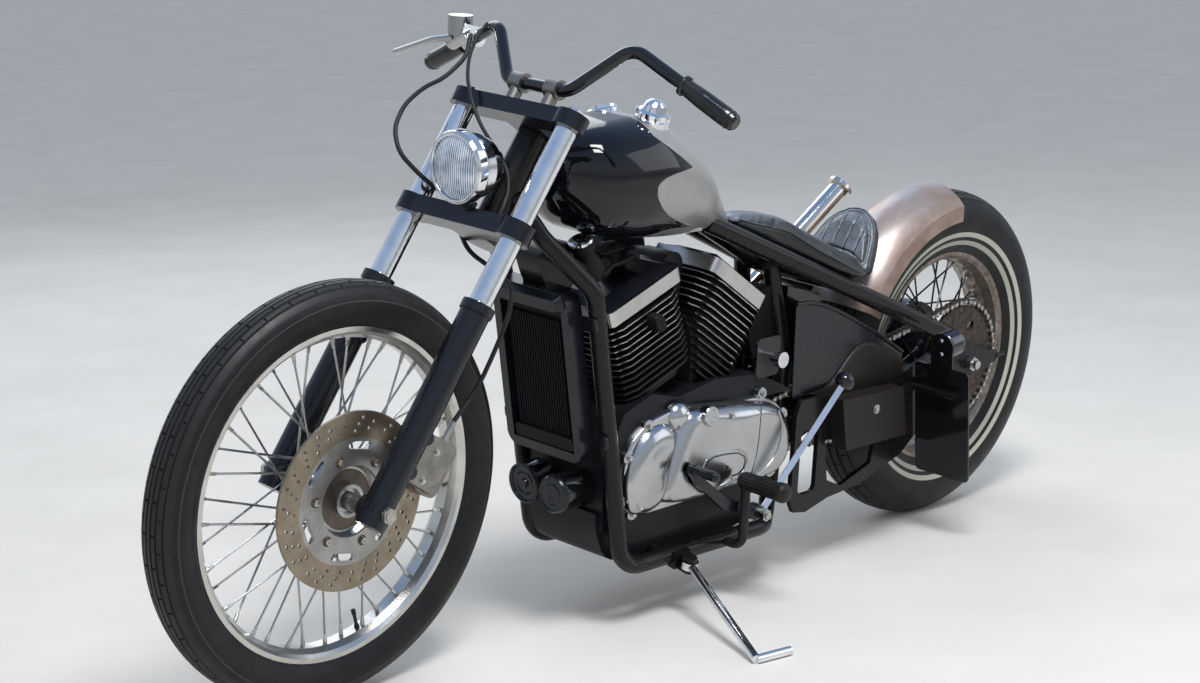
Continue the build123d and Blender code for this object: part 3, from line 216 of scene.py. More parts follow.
class Nodes:
    """A node tree whose nodes are added and linked in one call."""

    def __init__(self, tree):
        self.tree = tree

    def feed(self, node, inputs):
        """Sets inputs, by place or by name, or links them to values."""
        for key, value in inputs.items():
            socket = node.inputs[key.replace("_", " ") if isinstance(key, str) else key]
            if isinstance(value, Value):
                self.tree.links.new(value.socket, socket)
            elif socket.type == "RGBA":
                socket.default_value = (*value, 1)
            else:
                socket.default_value = value

    def add(self, kind, *placed, operation=None, **named):
        node = self.tree.nodes.new("ShaderNode" + kind)
        if operation:
            node.operation = operation
        self.feed(node, {**dict(enumerate(placed)), **named})
        return node

    def math(self, kind, first, second=0.0):
        return Value(self, self.add("Math", first, second, operation=kind))

    def range(self, source, low, high, at=(0.0, 1.0)):
        return Value(self, self.add("MapRange", source, From_Min=at[0], From_Max=at[1], To_Min=low,
                                    To_Max=high))

    def ramp(self, source, *stops):
        node = self.add("ValToRGB", source)
        elements = node.color_ramp.elements
        while len(elements) < len(stops):
            elements.new(0.5)
        for element, (at, color) in zip(elements, stops):
            element.position, element.color = at, (*color, 1)
        return Value(self, node)

    def mix(self, factor, first, second):
        node = self.add("Mix")
        node.data_type = "RGBA"
        self.feed(node, {0: factor, 6: first, 7: second})
        return Value(self, node, 2)

    def coords(self, stretch=(1, 1, 1), **values):
        found = Value(self, self.add("TexCoord"), "Object")
        return Value(self, self.add("Mapping", Vector=found, Scale=stretch, **values))

    def noise(self, scale, detail, rough, stretch=(1, 1, 1)):
        node = self.add("TexNoise", Vector=self.coords(stretch), Scale=scale, Detail=detail, Roughness=rough)
        return Value(self, node, "Fac")

    def upright(self):
        """The surface point in the machine's own upright millimetres, as three values."""
        point = self.coords((1000, 1000, 1000), Rotation=(LEAN, 0, 0), Location=-(ROLL.inverted() @ HOME))
        parts = self.add("SeparateXYZ", point)
        return [Value(self, parts, axis) for axis in range(3)]

    def facing(self, direction):
        """How far the surface faces an upright direction, from -1 to 1."""
        normal = Value(self, self.add("TexCoord"), "Normal")
        turned = ROLL.to_3x3() @ Vector(direction)
        return Value(self, self.add("VectorMath", normal, turned, operation="DOT_PRODUCT"), "Value")

    def radius(self, centre):
        """Distance from a wheel's axle line."""
        x, _, z = self.upright()
        x, z = x - centre.x, z - centre.z
        return self.math("SQRT", x * x + z * z)

    def between(self, value, low, high, blur):
        """1 inside a band and 0 outside it."""
        rise, fall = (low - blur, low + blur), (high - blur, high + blur)
        return self.range(value, 0, 1, rise) * self.range(value, 1, 0, fall)

    def follow(self, value, table):
        """A smooth curve through a table of two columns."""
        low, high = table[0][0], table[-1][0]
        floor, top = min(row[1] for row in table), max(row[1] for row in table)
        node = self.add("FloatCurve", Value=self.range(value, 0, 1, (low, high)))
        points = node.mapping.curves[0].points
        while len(points) < len(table):
            points.new(0.5, 0.5)
        for point, (at, out) in zip(points, table):
            point.location = ((at - low) / (high - low), (out - floor) / (top - floor))
            point.handle_type = "AUTO"
        node.mapping.update()
        return self.range(Value(self, node), floor, top)


# Depth of the finishes' fine grain in metres, and the middle part of a noise's values
GRAIN, MIDDLE = 0.0004, (0.3, 0.7)


class Finish(Nodes):
    """A material and its shader."""

    def __init__(self, name, **values):
        self.material = bpy.data.materials.new(name)
        self.material.use_nodes = True
        super().__init__(self.material.node_tree)
        self.shade(**values)

    def shade(self, **values):
        self.feed(self.tree.nodes["Principled BSDF"], values)

    def grained(self, height, strength):
        """The finished material, with its fine bumps."""
        self.shade(Normal=Value(self, self.add("Bump", Strength=strength, Distance=GRAIN, Height=height)))
        return self.material


def metal(name, base, dark, rough, scale, grime, bump):
    """Bare or plated metal: two tones that drift, with finer scratches in the gloss."""
    m = Finish(name, Metallic=1.0)
    drift = m.noise(scale, 8, 0.65)
    m.shade(Base_Color=m.ramp(drift, (grime - 0.25, dark), (grime + 0.15, base)),
            Roughness=m.range(drift, rough[1], rough[0], MIDDLE))
    return m.grained(m.noise(scale * 14, 4, 0.7), bump)


def paint(name, base, dust, rough, scale=18.0, coat=0.0, shine=0.3):
    """Painted metal or moulded plastic with dust and rubbed patches."""
    m = Finish(name, Coat_Weight=coat, Coat_Roughness=0.08, Specular_IOR_Level=shine)
    fine = m.noise(scale * 20, 5, 0.7)
    m.shade(Base_Color=m.ramp(m.noise(scale, 8, 0.65), (0.35, base), (0.74, base), (1.0, dust)),
            Roughness=m.range(fine, *rough, MIDDLE))
    return m.grained(fine, 0.05)


# Colour of coal-black rubber, vinyl and matt paint
COAL = (0.006, 0.006, 0.007)


def rubber(name, dust, rough, shine=0.3):
    m = Finish(name, Specular_IOR_Level=shine)
    drift = m.noise(25, 8, 0.7)
    m.shade(Base_Color=m.ramp(drift, (0.4, COAL), (0.75, dust)), Roughness=m.range(drift, *rough, MIDDLE))
    return m.grained(m.noise(500, 4, 0.7), 0.15)


def two_tone(name, mask, first, second, bump=0.1, faded=0.68, **values):
    """Two finishes (colour, metallic, roughness) told apart by a mask from 0 to 1."""
    m = Finish(name, **values)
    value = mask(m)
    drift = m.noise(30, 7, 0.65)
    tones = [m.ramp(drift, (0.3, [channel * faded for channel in tone[0]]), (0.6, tone[0]))
             for tone in (first, second)]
    m.shade(Base_Color=m.mix(value, *tones), Metallic=m.range(value, first[1], second[1]),
            Roughness=m.range(value, first[2], second[2]) + m.range(drift, 0.05, -0.04, MIDDLE))
    return m.grained(m.noise(500, 4, 0.7), bump)


# Black and silver of the tank: the silver panel's nose, the stripe above it and the strip below it
PANEL_NOSE = ((690, 792), (711, 829), (725, 868), (742, 913), (764, 955), (782, 974), (798, 983), (812, 982),
              (821, 972), (828, 950), (832, 915), (834, 885), (836, 855))
STRIPE_EDGE = ((672, 590), (846, 810), (879, 831), (909, 851), (940, 872), (966, 892), (990, 920))
STRIP_EDGE = ((672, 708), (831, 719), (880, 722), (911, 723), (935, 717), (957, 708), (966, 688))
SILVER = ((0.34, 0.335, 0.325), 0.55, 0.32)
BLACK = ((0.004, 0.0045, 0.006), 0.0, 0.06)


def tank_mask(m):
    x, _, z = m.upright()
    blur = (-0.7, 0.7)
    panel = m.range(m.follow(z, PANEL_NOSE) - x, 0, 1, blur) * m.range(z, 1, 0, (834.4, 835.6))
    stripe = m.range(z - m.follow(x, STRIPE_EDGE), 0, 1, blur) * m.range(x, 1, 0, (968, 969.4))
    strip = m.range(m.follow(x, STRIP_EDGE) - z, 0, 1, blur) * m.range(x, 1, 0, (965, 966))
    return panel | stripe | strip


# The cylinders stand on the crank at two angles, and their fins start at one height
CRANK_X, CRANK_Z = 852, 330
FRONT_ANGLE, REAR_ANGLE = 20.5, -33.5
FIRST_FIN, FIN_PITCH = 122, 12.5


def cylinder_up(angle):
    return sin(radians(angle)), 0, cos(radians(angle))


def finned(name, angle):
    """Black cylinder whose fins have thin bright lines along their rims; the lines fade out down the
    cylinder, a painted shade on the lower fins.
    """
    along = cylinder_up(angle)

    def mask(m):
        x, y, z = m.upright()
        x, z = x - CRANK_X, z - CRANK_Z
        across, up = x * along[2] - z * along[0], x * along[0] + z * along[2]
        outside = m.range(abs(y), 0, 1, (76, 79)) | m.range(abs(across), 0, 1, (79, 84))
        rim = m.range(abs(m.facing(along)), 1, 0, (0.2, 0.5))
        edge = m.between(m.math("FLOORED_MODULO", up - FIRST_FIN, FIN_PITCH), 0.9, 2.4, 0.3)
        # Worn breaks in the lines, times a painted shade that fades them out towards the lower fins
        faded = m.range(m.noise(60, 6, 0.7), 0.35, 1.0, (0.35, 0.5)) * m.range(up, 0.02, 1, (165, 225))
        return outside * rim * edge * faded

    return two_tone(name, mask, ((0.008, 0.008, 0.01), 0.0, 0.45), ((0.6, 0.58, 0.54), 1.0, 0.3), 0.2,
                    Specular_IOR_Level=0.25)


def head_alloy():
    """Polished bands with black lacquered tops."""
    def mask(m):
        ahead = m.range(m.upright()[0], 0, 1, (808, 816))
        front, rear = m.facing(cylinder_up(FRONT_ANGLE)), m.facing(cylinder_up(REAR_ANGLE))
        return m.range(ahead * front + (1.0 - ahead) * rear, 0, 1, (0.22, 0.3))

    return two_tone("head_alloy", mask, ((0.52, 0.51, 0.49), 1.0, 0.24), ((0.006, 0.0075, 0.012), 0.0, 0.2),
                    0.05, 0.85, Specular_IOR_Level=0.2)


def tyre_rubber(name, centre, rings, grey):
    """Black wall with pale rings at the given radii, and a greyer worn tread."""
    m = Finish(name, Specular_IOR_Level=0.28)
    radius, drift = m.radius(centre), m.noise(25, 8, 0.7)
    color = m.ramp(drift, (0.4, (0.004, 0.004, 0.0045)), (0.8, (0.012, 0.0115, 0.011)))
    tread = m.range(radius, 0, 0.6, grey) * m.range(m.noise(90, 5, 0.7), 0.4, 1)
    color = m.mix(tread, color, (0.03, 0.03, 0.029))
    for low, high, tone in rings:
        color = m.mix(m.between(radius, low, high, 0.4), color, tone)
    m.shade(Base_Color=color, Roughness=m.range(drift, 0.55, 0.4, MIDDLE))
    return m.grained(m.noise(600, 4, 0.7), 0.1)


# Width of one flute of the lamp's glass
FLUTE = 4.6


def lamp_glass():
    """Clear lamp glass drawn opaque: its blue-white colour is a painted reflection, its flutes are in the
    mesh, and their valleys are painted darker, a painted shade.
    """
    m = Finish("lamp_glass", Metallic=0.35, Coat_Weight=1.0, Coat_Roughness=0.02)
    haze_and_reflection = m.noise(28, 4, 0.6)
    # Painted reflection: blue-white tones that rise and fall with the flutes, darker in their valleys as a
    # painted shade
    value = m.math("COSINE", m.upright()[1] * (2 * pi / FLUTE)) * 0.22 + haze_and_reflection
    color = m.ramp(value, (0.25, (0.1, 0.15, 0.24)), (0.5, (0.42, 0.5, 0.6)), (0.75, (0.86, 0.9, 0.95)))
    m.shade(Base_Color=color, Roughness=m.range(haze_and_reflection, 0.08, 0.2))
    return m.material


def vinyl():
    """Black vinyl with a fine grain; the faces that look up and ahead are painted a lighter blue-grey, a
    painted sheen, and the sides stay coal-black.
    """
    m = Finish("vinyl", Coat_Weight=0.2, Coat_Roughness=0.2, Specular_IOR_Level=0.45)
    drift = m.noise(20, 7, 0.65)
    # Painted sheen: faces turned up and ahead get the lighter blue-grey, the rest stays coal-black
    painted_sheen = m.range(m.facing((0.5, 0, 0.866)), 0, 1, (0.55, 0.93))
    cell = Value(m, m.add("TexVoronoi", Vector=m.coords(), Scale=620), "Distance")
    pale = m.ramp(drift, (0.35, (0.08, 0.094, 0.113)), (0.75, (0.185, 0.212, 0.25)))
    m.shade(Base_Color=m.mix(painted_sheen, COAL, pale), Roughness=m.range(drift, 0.28, 0.4, MIDDLE))
    return m.grained(cell, 0.35)


def fender_steel():
    """Bare steel with brown blotches; browner, darker, less metallic and rougher towards the sides."""
    m = Finish("fender_steel")
    sides = m.range(abs(m.upright()[1]), 0, 0.5, (25, 75))
    brown_share = m.range(m.noise(7, 5, 0.55, (1, 2.5, 1)), 0.0, 0.55, (0.35, 0.65)) + sides
    m.shade(Base_Color=m.ramp(brown_share, (0.1, (0.6, 0.56, 0.54)), (0.5, (0.42, 0.34, 0.3)),
                              (0.95, (0.22, 0.14, 0.105))),
            Metallic=m.range(brown_share, 0.85, 0.45), Roughness=m.range(brown_share, 0.3, 0.48))
    return m.grained(m.noise(300, 4, 0.7), 0.08)


CHROME = metal("chrome", (0.80, 0.81, 0.83), (0.60, 0.59, 0.58), (0.04, 0.1), 22, 0.4, 0.015)
DARK_CHROME = metal("dark_chrome", (0.1, 0.1, 0.11), (0.06, 0.055, 0.05), (0.1, 0.22), 22, 0.4, 0.03)
POLISHED = metal("polished_alloy", (0.46, 0.465, 0.47), (0.38, 0.375, 0.365), (0.16, 0.26), 9, 0.42, 0.04)
CAST = metal("cast_alloy", (0.27, 0.26, 0.24), (0.15, 0.14, 0.125), (0.32, 0.48), 40, 0.45, 0.3)
STEEL = metal("bare_steel", (0.52, 0.51, 0.49), (0.3, 0.26, 0.22), (0.2, 0.42), 40, 0.42, 0.12)
RIM = metal("rim_steel", (0.56, 0.55, 0.52), (0.4, 0.37, 0.33), (0.14, 0.3), 16, 0.42, 0.05)
RUSTED = metal("rusted_rim", (0.32, 0.29, 0.26), (0.12, 0.08, 0.055), (0.3, 0.6), 60, 0.5, 0.2)
RUST = metal("rust", (0.2, 0.12, 0.08), (0.1, 0.05, 0.03), (0.5, 0.75), 120, 0.5, 0.4)
SPROCKET = metal("oily_steel", (0.1, 0.082, 0.068), (0.035, 0.025, 0.02), (0.35, 0.6), 80, 0.5, 0.2)
CHAIN = metal("chain_plates", (0.3, 0.28, 0.26), (0.12, 0.1, 0.085), (0.25, 0.5), 80, 0.5, 0.2)
PINS = metal("chain_pins", (0.75, 0.74, 0.72), (0.45, 0.42, 0.38), (0.16, 0.28), 200, 0.45, 0.05)
HEATED = metal("heated_pipe", (0.66, 0.63, 0.59), (0.46, 0.39, 0.33), (0.06, 0.2), 9, 0.4, 0.03)
SATIN_BLACK = paint("satin_black", (0.006, 0.007, 0.01), (0.022, 0.021, 0.02), (0.2, 0.32), coat=0.15)
CLAMP_BLACK = paint("clamp_black", (0.005, 0.0065, 0.011), (0.013, 0.013, 0.015), (0.16, 0.26), coat=0.2,
                    shine=0.25)
GLOSS_BLACK = paint("gloss_black", (0.005, 0.005, 0.006), (0.014, 0.013, 0.013), (0.06, 0.16), coat=0.5)
FRAME_BLACK = paint("frame_black", (0.007, 0.006, 0.006), (0.03, 0.022, 0.017), (0.2, 0.36), coat=0.12,
                    shine=0.2)
ENGINE_BLACK = paint("engine_black", (0.007, 0.008, 0.01), (0.03, 0.028, 0.026), (0.3, 0.48), 30, shine=0.2)
MATT_BLACK = paint("matt_black", COAL, (0.024, 0.022, 0.02), (0.5, 0.7), shine=0.2)
BOX_BLACK = paint("box_black", (0.014, 0.011, 0.009), (0.045, 0.034, 0.026), (0.35, 0.55), shine=0.25)
LENS_RED = paint("lamp_red", (0.25, 0.01, 0.008), (0.3, 0.02, 0.015), (0.08, 0.15), coat=0.8)
TANK = two_tone("tank_paint", tank_mask, BLACK, SILVER, 0.015, 0.93, Coat_Weight=0.4, Coat_Roughness=0.03,
                Specular_IOR_Level=0.25)
# A black plate with bright edges, and the chrome lock on it
KEY_STEEL = two_tone("key_steel", lambda m: (m.range(m.facing((0, 1, 0)), 0, 1, (0.6, 0.8))
                                             * m.range(m.upright()[1], 1, 0, (103, 104))),
                     ((0.7, 0.7, 0.71), 1.0, 0.15), ((0.012, 0.011, 0.011), 0.0, 0.35), 0.05)
# A grey carrier and a tan, rubbed band outside it
DISC_STEEL = two_tone("disc_steel", lambda m: m.range(m.radius(FRONT_AXLE), 0, 1, (106, 107)),
                      ((0.36, 0.355, 0.34), 0.9, 0.36), ((0.29, 0.24, 0.18), 0.9, 0.34))
# A brown cast hub between a brighter bore and bright spokes
HUB_CAST = two_tone("hub_cast", lambda m: (m.range(m.radius(FRONT_AXLE), 1, 0, (27, 29))
                                           | m.range(m.radius(FRONT_AXLE), 0, 1, (50.5, 52))),
                    ((0.13, 0.105, 0.085), 0.8, 0.45), ((0.42, 0.42, 0.42), 1.0, 0.26), 0.15)
RUBBER = rubber("rubber", (0.024, 0.022, 0.02), (0.4, 0.6))
GRIP = rubber("grip_rubber", (0.014, 0.013, 0.013), (0.1, 0.22), 0.5)
FRONT_RUBBER = tyre_rubber("front_rubber", FRONT_AXLE, ((324, 325.4, (0.05, 0.05, 0.05)),), (333, 337))
REAR_RUBBER = tyre_rubber("rear_rubber", REAR_AXLE,
                          ((251, 261, (0.46, 0.45, 0.39)), (233.5, 243, (0.4, 0.39, 0.34))), (322, 328))
VINYL = vinyl()

for material, names in (
        (CHROME, "stanchions headlamp tank_caps shift_lever side_stand"), (DARK_CHROME, "tail_lamp"),
        (POLISHED, "brake_lever left_cover right_cover"), (CAST, "risers caliper"), (RIM, "front_rim"),
        (STEEL, "rear_axle front_axle"), (RUSTED, "rear_rim"), (SPROCKET, "rear_sprocket"), (CHAIN, "chain"),
        (HEATED, "exhaust"), (SATIN_BLACK, "rear_hub fork_legs radiator_cowl seat_pan pedals"),
        (CLAMP_BLACK, "lower_clamp upper_clamp lamp_bracket"),
        (GLOSS_BLACK, "handlebar oil_filter horn fuel_tank plate_bracket battery_box"),
        (FRAME_BLACK, "main_frame rear_frame stand_bracket"), (ENGINE_BLACK, "crankcase carburettor"),
        (MATT_BLACK, "brake_plate radiator"), (BOX_BLACK, "side_box"), (GRIP, "grips"),
        (RUBBER, "foot_pegs brake_hose throttle_cable"), (FRONT_RUBBER, "front_tyre"),
        (REAR_RUBBER, "rear_tyre"),
        (VINYL, "seat"), (HUB_CAST, "front_hub"), (DISC_STEEL, "brake_disc"), (head_alloy(), "head_covers"),
        (finned("front_fins", FRONT_ANGLE), "front_cylinder"),
        (finned("rear_fins", REAR_ANGLE), "rear_cylinder"),
        (fender_steel(), "rear_fender"), (KEY_STEEL, "key_switch")):
    for name in names.split():
        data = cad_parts[name].data
        data.materials.clear()
        data.materials.append(material)


# Tyres
# Share of the height and share of the half width, from the rim up; the first row is the rim's own width
TYRE_WALL = ((0.0, None), (0.14, 0.84), (0.36, 0.98), (0.56, 1.0), (0.74, 0.90), (0.88, 0.68), (0.97, 0.40))
CROWN_HALF = 6
# Degrees from the start of a pattern, and the notch that is cut there
TREAD_STEPS = ((0.0, None), (0.1, "a"), (0.5, "a"), (0.6, None), (2.5, None), (4.29, None), (4.39, "b"),
               (4.79, "b"), (4.89, None), (6.8, None))
TREAD_REPEATS = 42


def tyre(name, node, body, centre, outer, half, flange, flange_half, grooves, groove, notched, material):
    """A tyre with grooves round it, and notches across the ribs between two distances from its middle."""
    lip = flange + 0.8
    rows = [(i, lip + up * (outer - lip), wide * half if wide else flange_half)
            for i, (up, wide) in enumerate(TYRE_WALL)]
    rows += [(7, outer, CROWN_HALF), (8, outer, 0)]
    dense = [(smooth(rows, i / 10, 2), smooth(rows, i / 10, 1)) for i in range(81)]

    def crown(y):
        for (y1, r1), (y0, r0) in zip(dense[31:], dense[30:]):
            if y1 <= abs(y) <= y0:
                return r1 + (r0 - r1) * (abs(y) - y1) / max(1e-6, y0 - y1)
        return outer

    wide, deep = groove
    inner, out = wide / 2 - 0.5, wide / 2 + 0.5
    edge = 0.86 * half
    far = max(high for _, _, high in notched) + 1
    cuts = [(edge, 0, ""), (-edge, 0, "")]
    for at in grooves:
        cuts += [(at - out, 0, ""), (at - inner, deep, ""), (at + inner, deep, ""), (at + out, 0, "")]
    for side in (-1, 1):
        for kind, low, high in notched:
            for share in (0.0, 0.12, 0.5, 0.88, 1.0):
                cuts.append((side * (low + (high - low) * share), 0, kind if 0 < share < 1 else ""))
        cuts += [(side * (far + (edge - far) * share), 0, "") for share in (0.25, 0.5, 0.75, 0.95)]
    cuts.sort(key=lambda cut: -cut[0])
    wall = [point for i, point in enumerate(dense) if i % 5 == 0 and point[1] < crown(edge) - 1]
    side = [(flange_half - 3.25, lip - 7), (flange_half - 3.25, lip)] + wall
    outline = [(y, r, 0, "") for y, r in side] + [(y, crown(y), depth, kind) for y, depth, kind in cuts]
    outline += [(-y, r, 0, "") for y, r in reversed(side)]
    form = Form()
    form.rings([[on_wheel(centre, r - max(depth, deep * 0.8 if kind == cut else 0),
                          radians(repeat * 360 / TREAD_REPEATS + angle), y) for y, r, depth, kind in outline]
                for repeat in range(TREAD_REPEATS) for angle, cut in TREAD_STEPS], closed=True)
    form.make(name, material, "tyre_rubber", body, (node,), 30)


tyre("front_tread", "front_tyre", "front_wheel", FRONT_AXLE, 352, 42, 280.3, 27.5,
     (-26, -15.5, -5, 5, 15.5, 26),
     (2.8, 3.6), (("a", 7, 13.5), ("b", 17.5, 24)), FRONT_RUBBER)
tyre("rear_tread", "rear_tyre", "rear_wheel", REAR_AXLE, 340, 65, 216.8, 44, (-43, -26, -9, 9, 26, 43),
     (4.2, 5), (("a", 11.8, 23.2), ("b", 28.8, 40.2)), REAR_RUBBER)

SPOKES = 40
LEFT = Vector((0, 1, 0))


def nipples(name, body, centre, flanges, rim_seat, cross, slot):
    """Spoke nipples and heads, laced as the spokes are; each side's flange has a radius and a y."""
    form = Form()
    for number in range(SPOKES):
        side, lead = ((1, 1), (-1, 1), (1, -1), (-1, -1))[number % 4]
        at_rim = radians(360 / SPOKES * number)
        radius, y = flanges[side]
        hub = on_wheel(centre, radius, at_rim - lead * radians(cross), y + lead * 2.2)
        end = on_wheel(centre, rim_seat, at_rim, side * 4)
        form.spun(end, hub, ((-2, 3.6), (7, 3.6), (8, 2.9), (16, 2.9), (17, 2.2)), 8)
        form.spun(hub, end, ((-3, 3.4), (2, 3.4), (6, 2.4)), 8)
    form.make(name, STEEL, slot, body)


nipples("front_nipples", "front_wheel", FRONT_AXLE, {1: (46, 33), -1: (46, -33)}, 258.3, 56, "rim_steel")
nipples("rear_nipples", "rear_wheel", REAR_AXLE, {1: (60, 29), -1: (95, -38)}, 194.8, 40, "rear_steel")

# Disc bolts in rusty rings
bolts, rust = Form(), Form()
for turn in range(6):
    middle = on_wheel(FRONT_AXLE, 75, radians(10 + 60 * turn), 63)
    bolts.spun(middle, middle + LEFT, ((-1, 5.2), (2.4, 5.2), (3, 4.4), (3, 2.4), (1, 2.2)), 12)
    rust.ring(middle - LEFT * 2.6, LEFT, 7.6, 1.1, 28, 8)
bolts.make("disc_bolts", STEEL, "axle_steel", "front_wheel")
rust.make("disc_bolt_rings", RUST, "disc_bronze", "front_wheel")

# Chain: figure-of-eight plates on rollers, with bright pins
CHAIN_PITCH, CHAIN_Y = 15.875, 83
REAR_TEETH, FRONT_TEETH = 48, 17
OUTPUT_X, OUTPUT_Z = 640, -40
OUTPUT = REAR_AXLE + Vector((OUTPUT_X, 0, OUTPUT_Z))
PLATE_LOBE, PLATE_WAIST = 5.6, 3.7
rear_r, front_r = (CHAIN_PITCH / (2 * sin(pi / teeth)) for teeth in (REAR_TEETH, FRONT_TEETH))
span, slope = hypot(OUTPUT_X, OUTPUT_Z), atan2(OUTPUT_Z, OUTPUT_X)
wrap = atan2(rear_r - front_r, span)
run, front_arc = span * cos(wrap), front_r * (pi - 2 * wrap)
loop = 2 * run + rear_r * (pi + 2 * wrap) + front_arc
links = 2 * ceil(loop / CHAIN_PITCH / 2)


def on_loop(s):
    """Point at a distance along the chain, from the top of the rear sprocket forward."""
    s = s % loop
    top, low = slope + pi / 2 - wrap, slope - pi / 2 + wrap
    if s < run:
        return on_wheel(on_wheel(REAR_AXLE, rear_r, top, CHAIN_Y), s, slope - wrap)
    s -= run
    if s < front_arc:
        return on_wheel(OUTPUT, front_r, top - s / front_r, CHAIN_Y)
    s -= front_arc
    if s < run:
        return on_wheel(on_wheel(OUTPUT, front_r, low, CHAIN_Y), -s, slope + wrap)
    return on_wheel(REAR_AXLE, rear_r, low - (s - run) / rear_r, CHAIN_Y)


plates, pins, upper = Form(), Form(), []
for i in range(15):
    u = (-1 + i / 7) * (CHAIN_PITCH / 2 + PLATE_LOBE) * 0.999
    reach = abs(u) - CHAIN_PITCH / 2
    height = sqrt(max(0.2, PLATE_LOBE ** 2 - reach ** 2)) if abs(reach) < PLATE_LOBE else 0
    upper.append((u, max(height, PLATE_WAIST) if reach < 0 else height))
outline = upper + [(u, -v) for u, v in reversed(upper)]
for link in range(links):
    joint, following = on_loop(link * loop / links), on_loop((link + 1) * loop / links)
    along = (following - joint).normalized()
    over, middle = Vector((-along.z, 0, along.x)), (joint + following) / 2
    near, far = ((6.7, 8.2), (4.6, 6.1))[link % 2]
    for levels in ((near, far), (-far, -near)):
        plates.rings([[middle + along * u + over * v + LEFT * y for u, v in outline] for y in levels])
    plates.rod(joint - LEFT * 4.5, joint + LEFT * 4.5, 5, 10)
    pins.spun(joint - LEFT * 9, joint + LEFT, ((0, 1.6), (0.5, 2.4), (17.5, 2.4), (18, 1.6)), 8)
plates.make("chain_plates", CHAIN, "chain_steel", "frame", ("chain",), 50)
pins.make("chain_pins", PINS, "chain_steel")

# Headlamp: a fluted, slightly domed pane inside the bezel
LAMP_AT = fork_point(566, 69)
PANE_R = 52.4
pane, bezel, around = Form(), Form(), circle(200)
rings = [[LAMP_AT + Vector((0.3, PANE_R * c, PANE_R * s)) for c, s in around]]
for step in range(52):
    r = PANE_R * (1 - step / 52.5)
    dome, flute = 1.5 + 8 * (1 - (r / PANE_R) ** 2), 0.6 * min(1.0, (PANE_R - r) / 4)
    rings.append([LAMP_AT + Vector((dome + flute * cos(2 * pi * r * c / FLUTE), r * c, r * s))
                  for c, s in around])
pane.rings(rings)
pane.make("lamp_pane", lamp_glass(), "fork_chrome", "steering", crease=60)
bezel.ring(LAMP_AT + Vector((2.2, 0, 0)), (1, 0, 0), 55.5, 2.6, 96, 12)
bezel.ring(LAMP_AT + Vector((-16, 0, 0)), (1, 0, 0), 61.2, 1.4, 96, 8)
bezel.make("lamp_bezel", CHROME, "fork_chrome", "steering")

# Tank: a skin through smooth sections (x, half width, underside, top), with a rounded nose and tail
TANK_SECTIONS = ((672, 22, 686, 704), (715, 46, 688, 752), (780, 84, 692, 820), (860, 114, 695, 880),
                 (930, 126, 700, 915), (1000, 124, 708, 916), (1080, 102, 730, 902), (1128, 52, 786, 872))
TAIL_X, NOSE_X = TANK_SECTIONS[0][0], TANK_SECTIONS[-1][0]
form, rings = Form(), []
stations = [(TAIL_X + (NOSE_X - TAIL_X) * i / 76, 1.0) for i in range(77)]
for grow, back in ((0.94, 1.5), (0.8, 3.5), (0.5, 5.5), (0.2, 6.3)):
    stations = [(TAIL_X - back, grow), *stations, (NOSE_X + back, grow)]
for x, grow in stations:
    half, low, high = (smooth(TANK_SECTIONS, x, column) for column in (1, 2, 3))
    half, tall, middle = half * grow, (high - low) / 2 * grow, (high + low) / 2
    corner = min(half, tall) * 0.9
    ring = []
    for quarter, (u, v) in enumerate(((1, 1), (-1, 1), (-1, -1), (1, -1))):
        for at in (pi / 2 * (quarter + i / 24) for i in range(25)):
            ring.append((x, u * (half - corner) + corner * cos(at),
                         middle + v * (tall - corner) + corner * sin(at)))
    rings.append(ring)
form.rings(rings)
form.make("tank_skin", TANK, "tank_paint", "frame", ("fuel_tank",), 50)


def sided(side, x, y, z):
    """A point or direction on the left, or its mirror on the right where side is -1."""
    return Vector((x, side * y, z))


# Filler caps: a knurled band round each, a bead at its foot, and six lugs on the left one
CAP_AT, CAP_TILT = (936, 55, 900), radians(16)
for side, name, low, high in ((1, "left_cap_trim", 5, 17), (-1, "right_cap_trim", 4, 13)):
    cap = Form()
    seat_at, out = sided(side, *CAP_AT), sided(side, 0, sin(CAP_TILT), cos(CAP_TILT))
    across = Vector((1, 0, 0))
    over = out.cross(across)
    for c, s in circle(48):
        spoke = seat_at + (across * c + over * s) * 30
        cap.rod(spoke + out * low, spoke + out * high, 0.9, 6)
    cap.ring(seat_at + out * 2.4, out, 32.2, 1.8, 64, 10)
    for c, s in circle(6) if side > 0 else ():
        spoke = seat_at + (across * c + over * s) * 27
        cap.spun(spoke + out * 19, spoke + out * 40, ((0, 5.5), (9, 5.5), (11, 4)), 12)
    cap.make(name, CHROME, "cap_chrome")

# Two rings on each grip; clips and fender bosses on the fork legs
BAR_END, BAR_ALONG = (1071.8, 362, 966.4), (-0.124225, 0.896195, -0.425914)
rings, clips, bosses = Form(), Form(), Form()
for side in (1, -1):
    end, along = sided(side, *BAR_END), sided(side, *BAR_ALONG)
    rings.ring(end - along * 9, along, 15.6, 1.5, 40, 8)
    rings.ring(end - along * 112, along, 15.0, 1.3, 40, 8)
    clips.ring(fork_point(371, 0, side * 122), FORK_UP, 24.2, 2.2, 48, 8)
    for up in (262, 292):
        at = fork_point(up, -6, side * 99)
        bosses.spun(at, at - LEFT * side, ((-8, 9), (5, 8.4), (6, 7.4), (6, 3.6), (3, 3.4)), 24)
rings.make("grip_rings", GRIP, "bar_black", "steering")
clips.make("leg_clips", CHROME, "fork_chrome", "steering")
bosses.make("fender_bosses", SATIN_BLACK, "clamp_black", "steering")

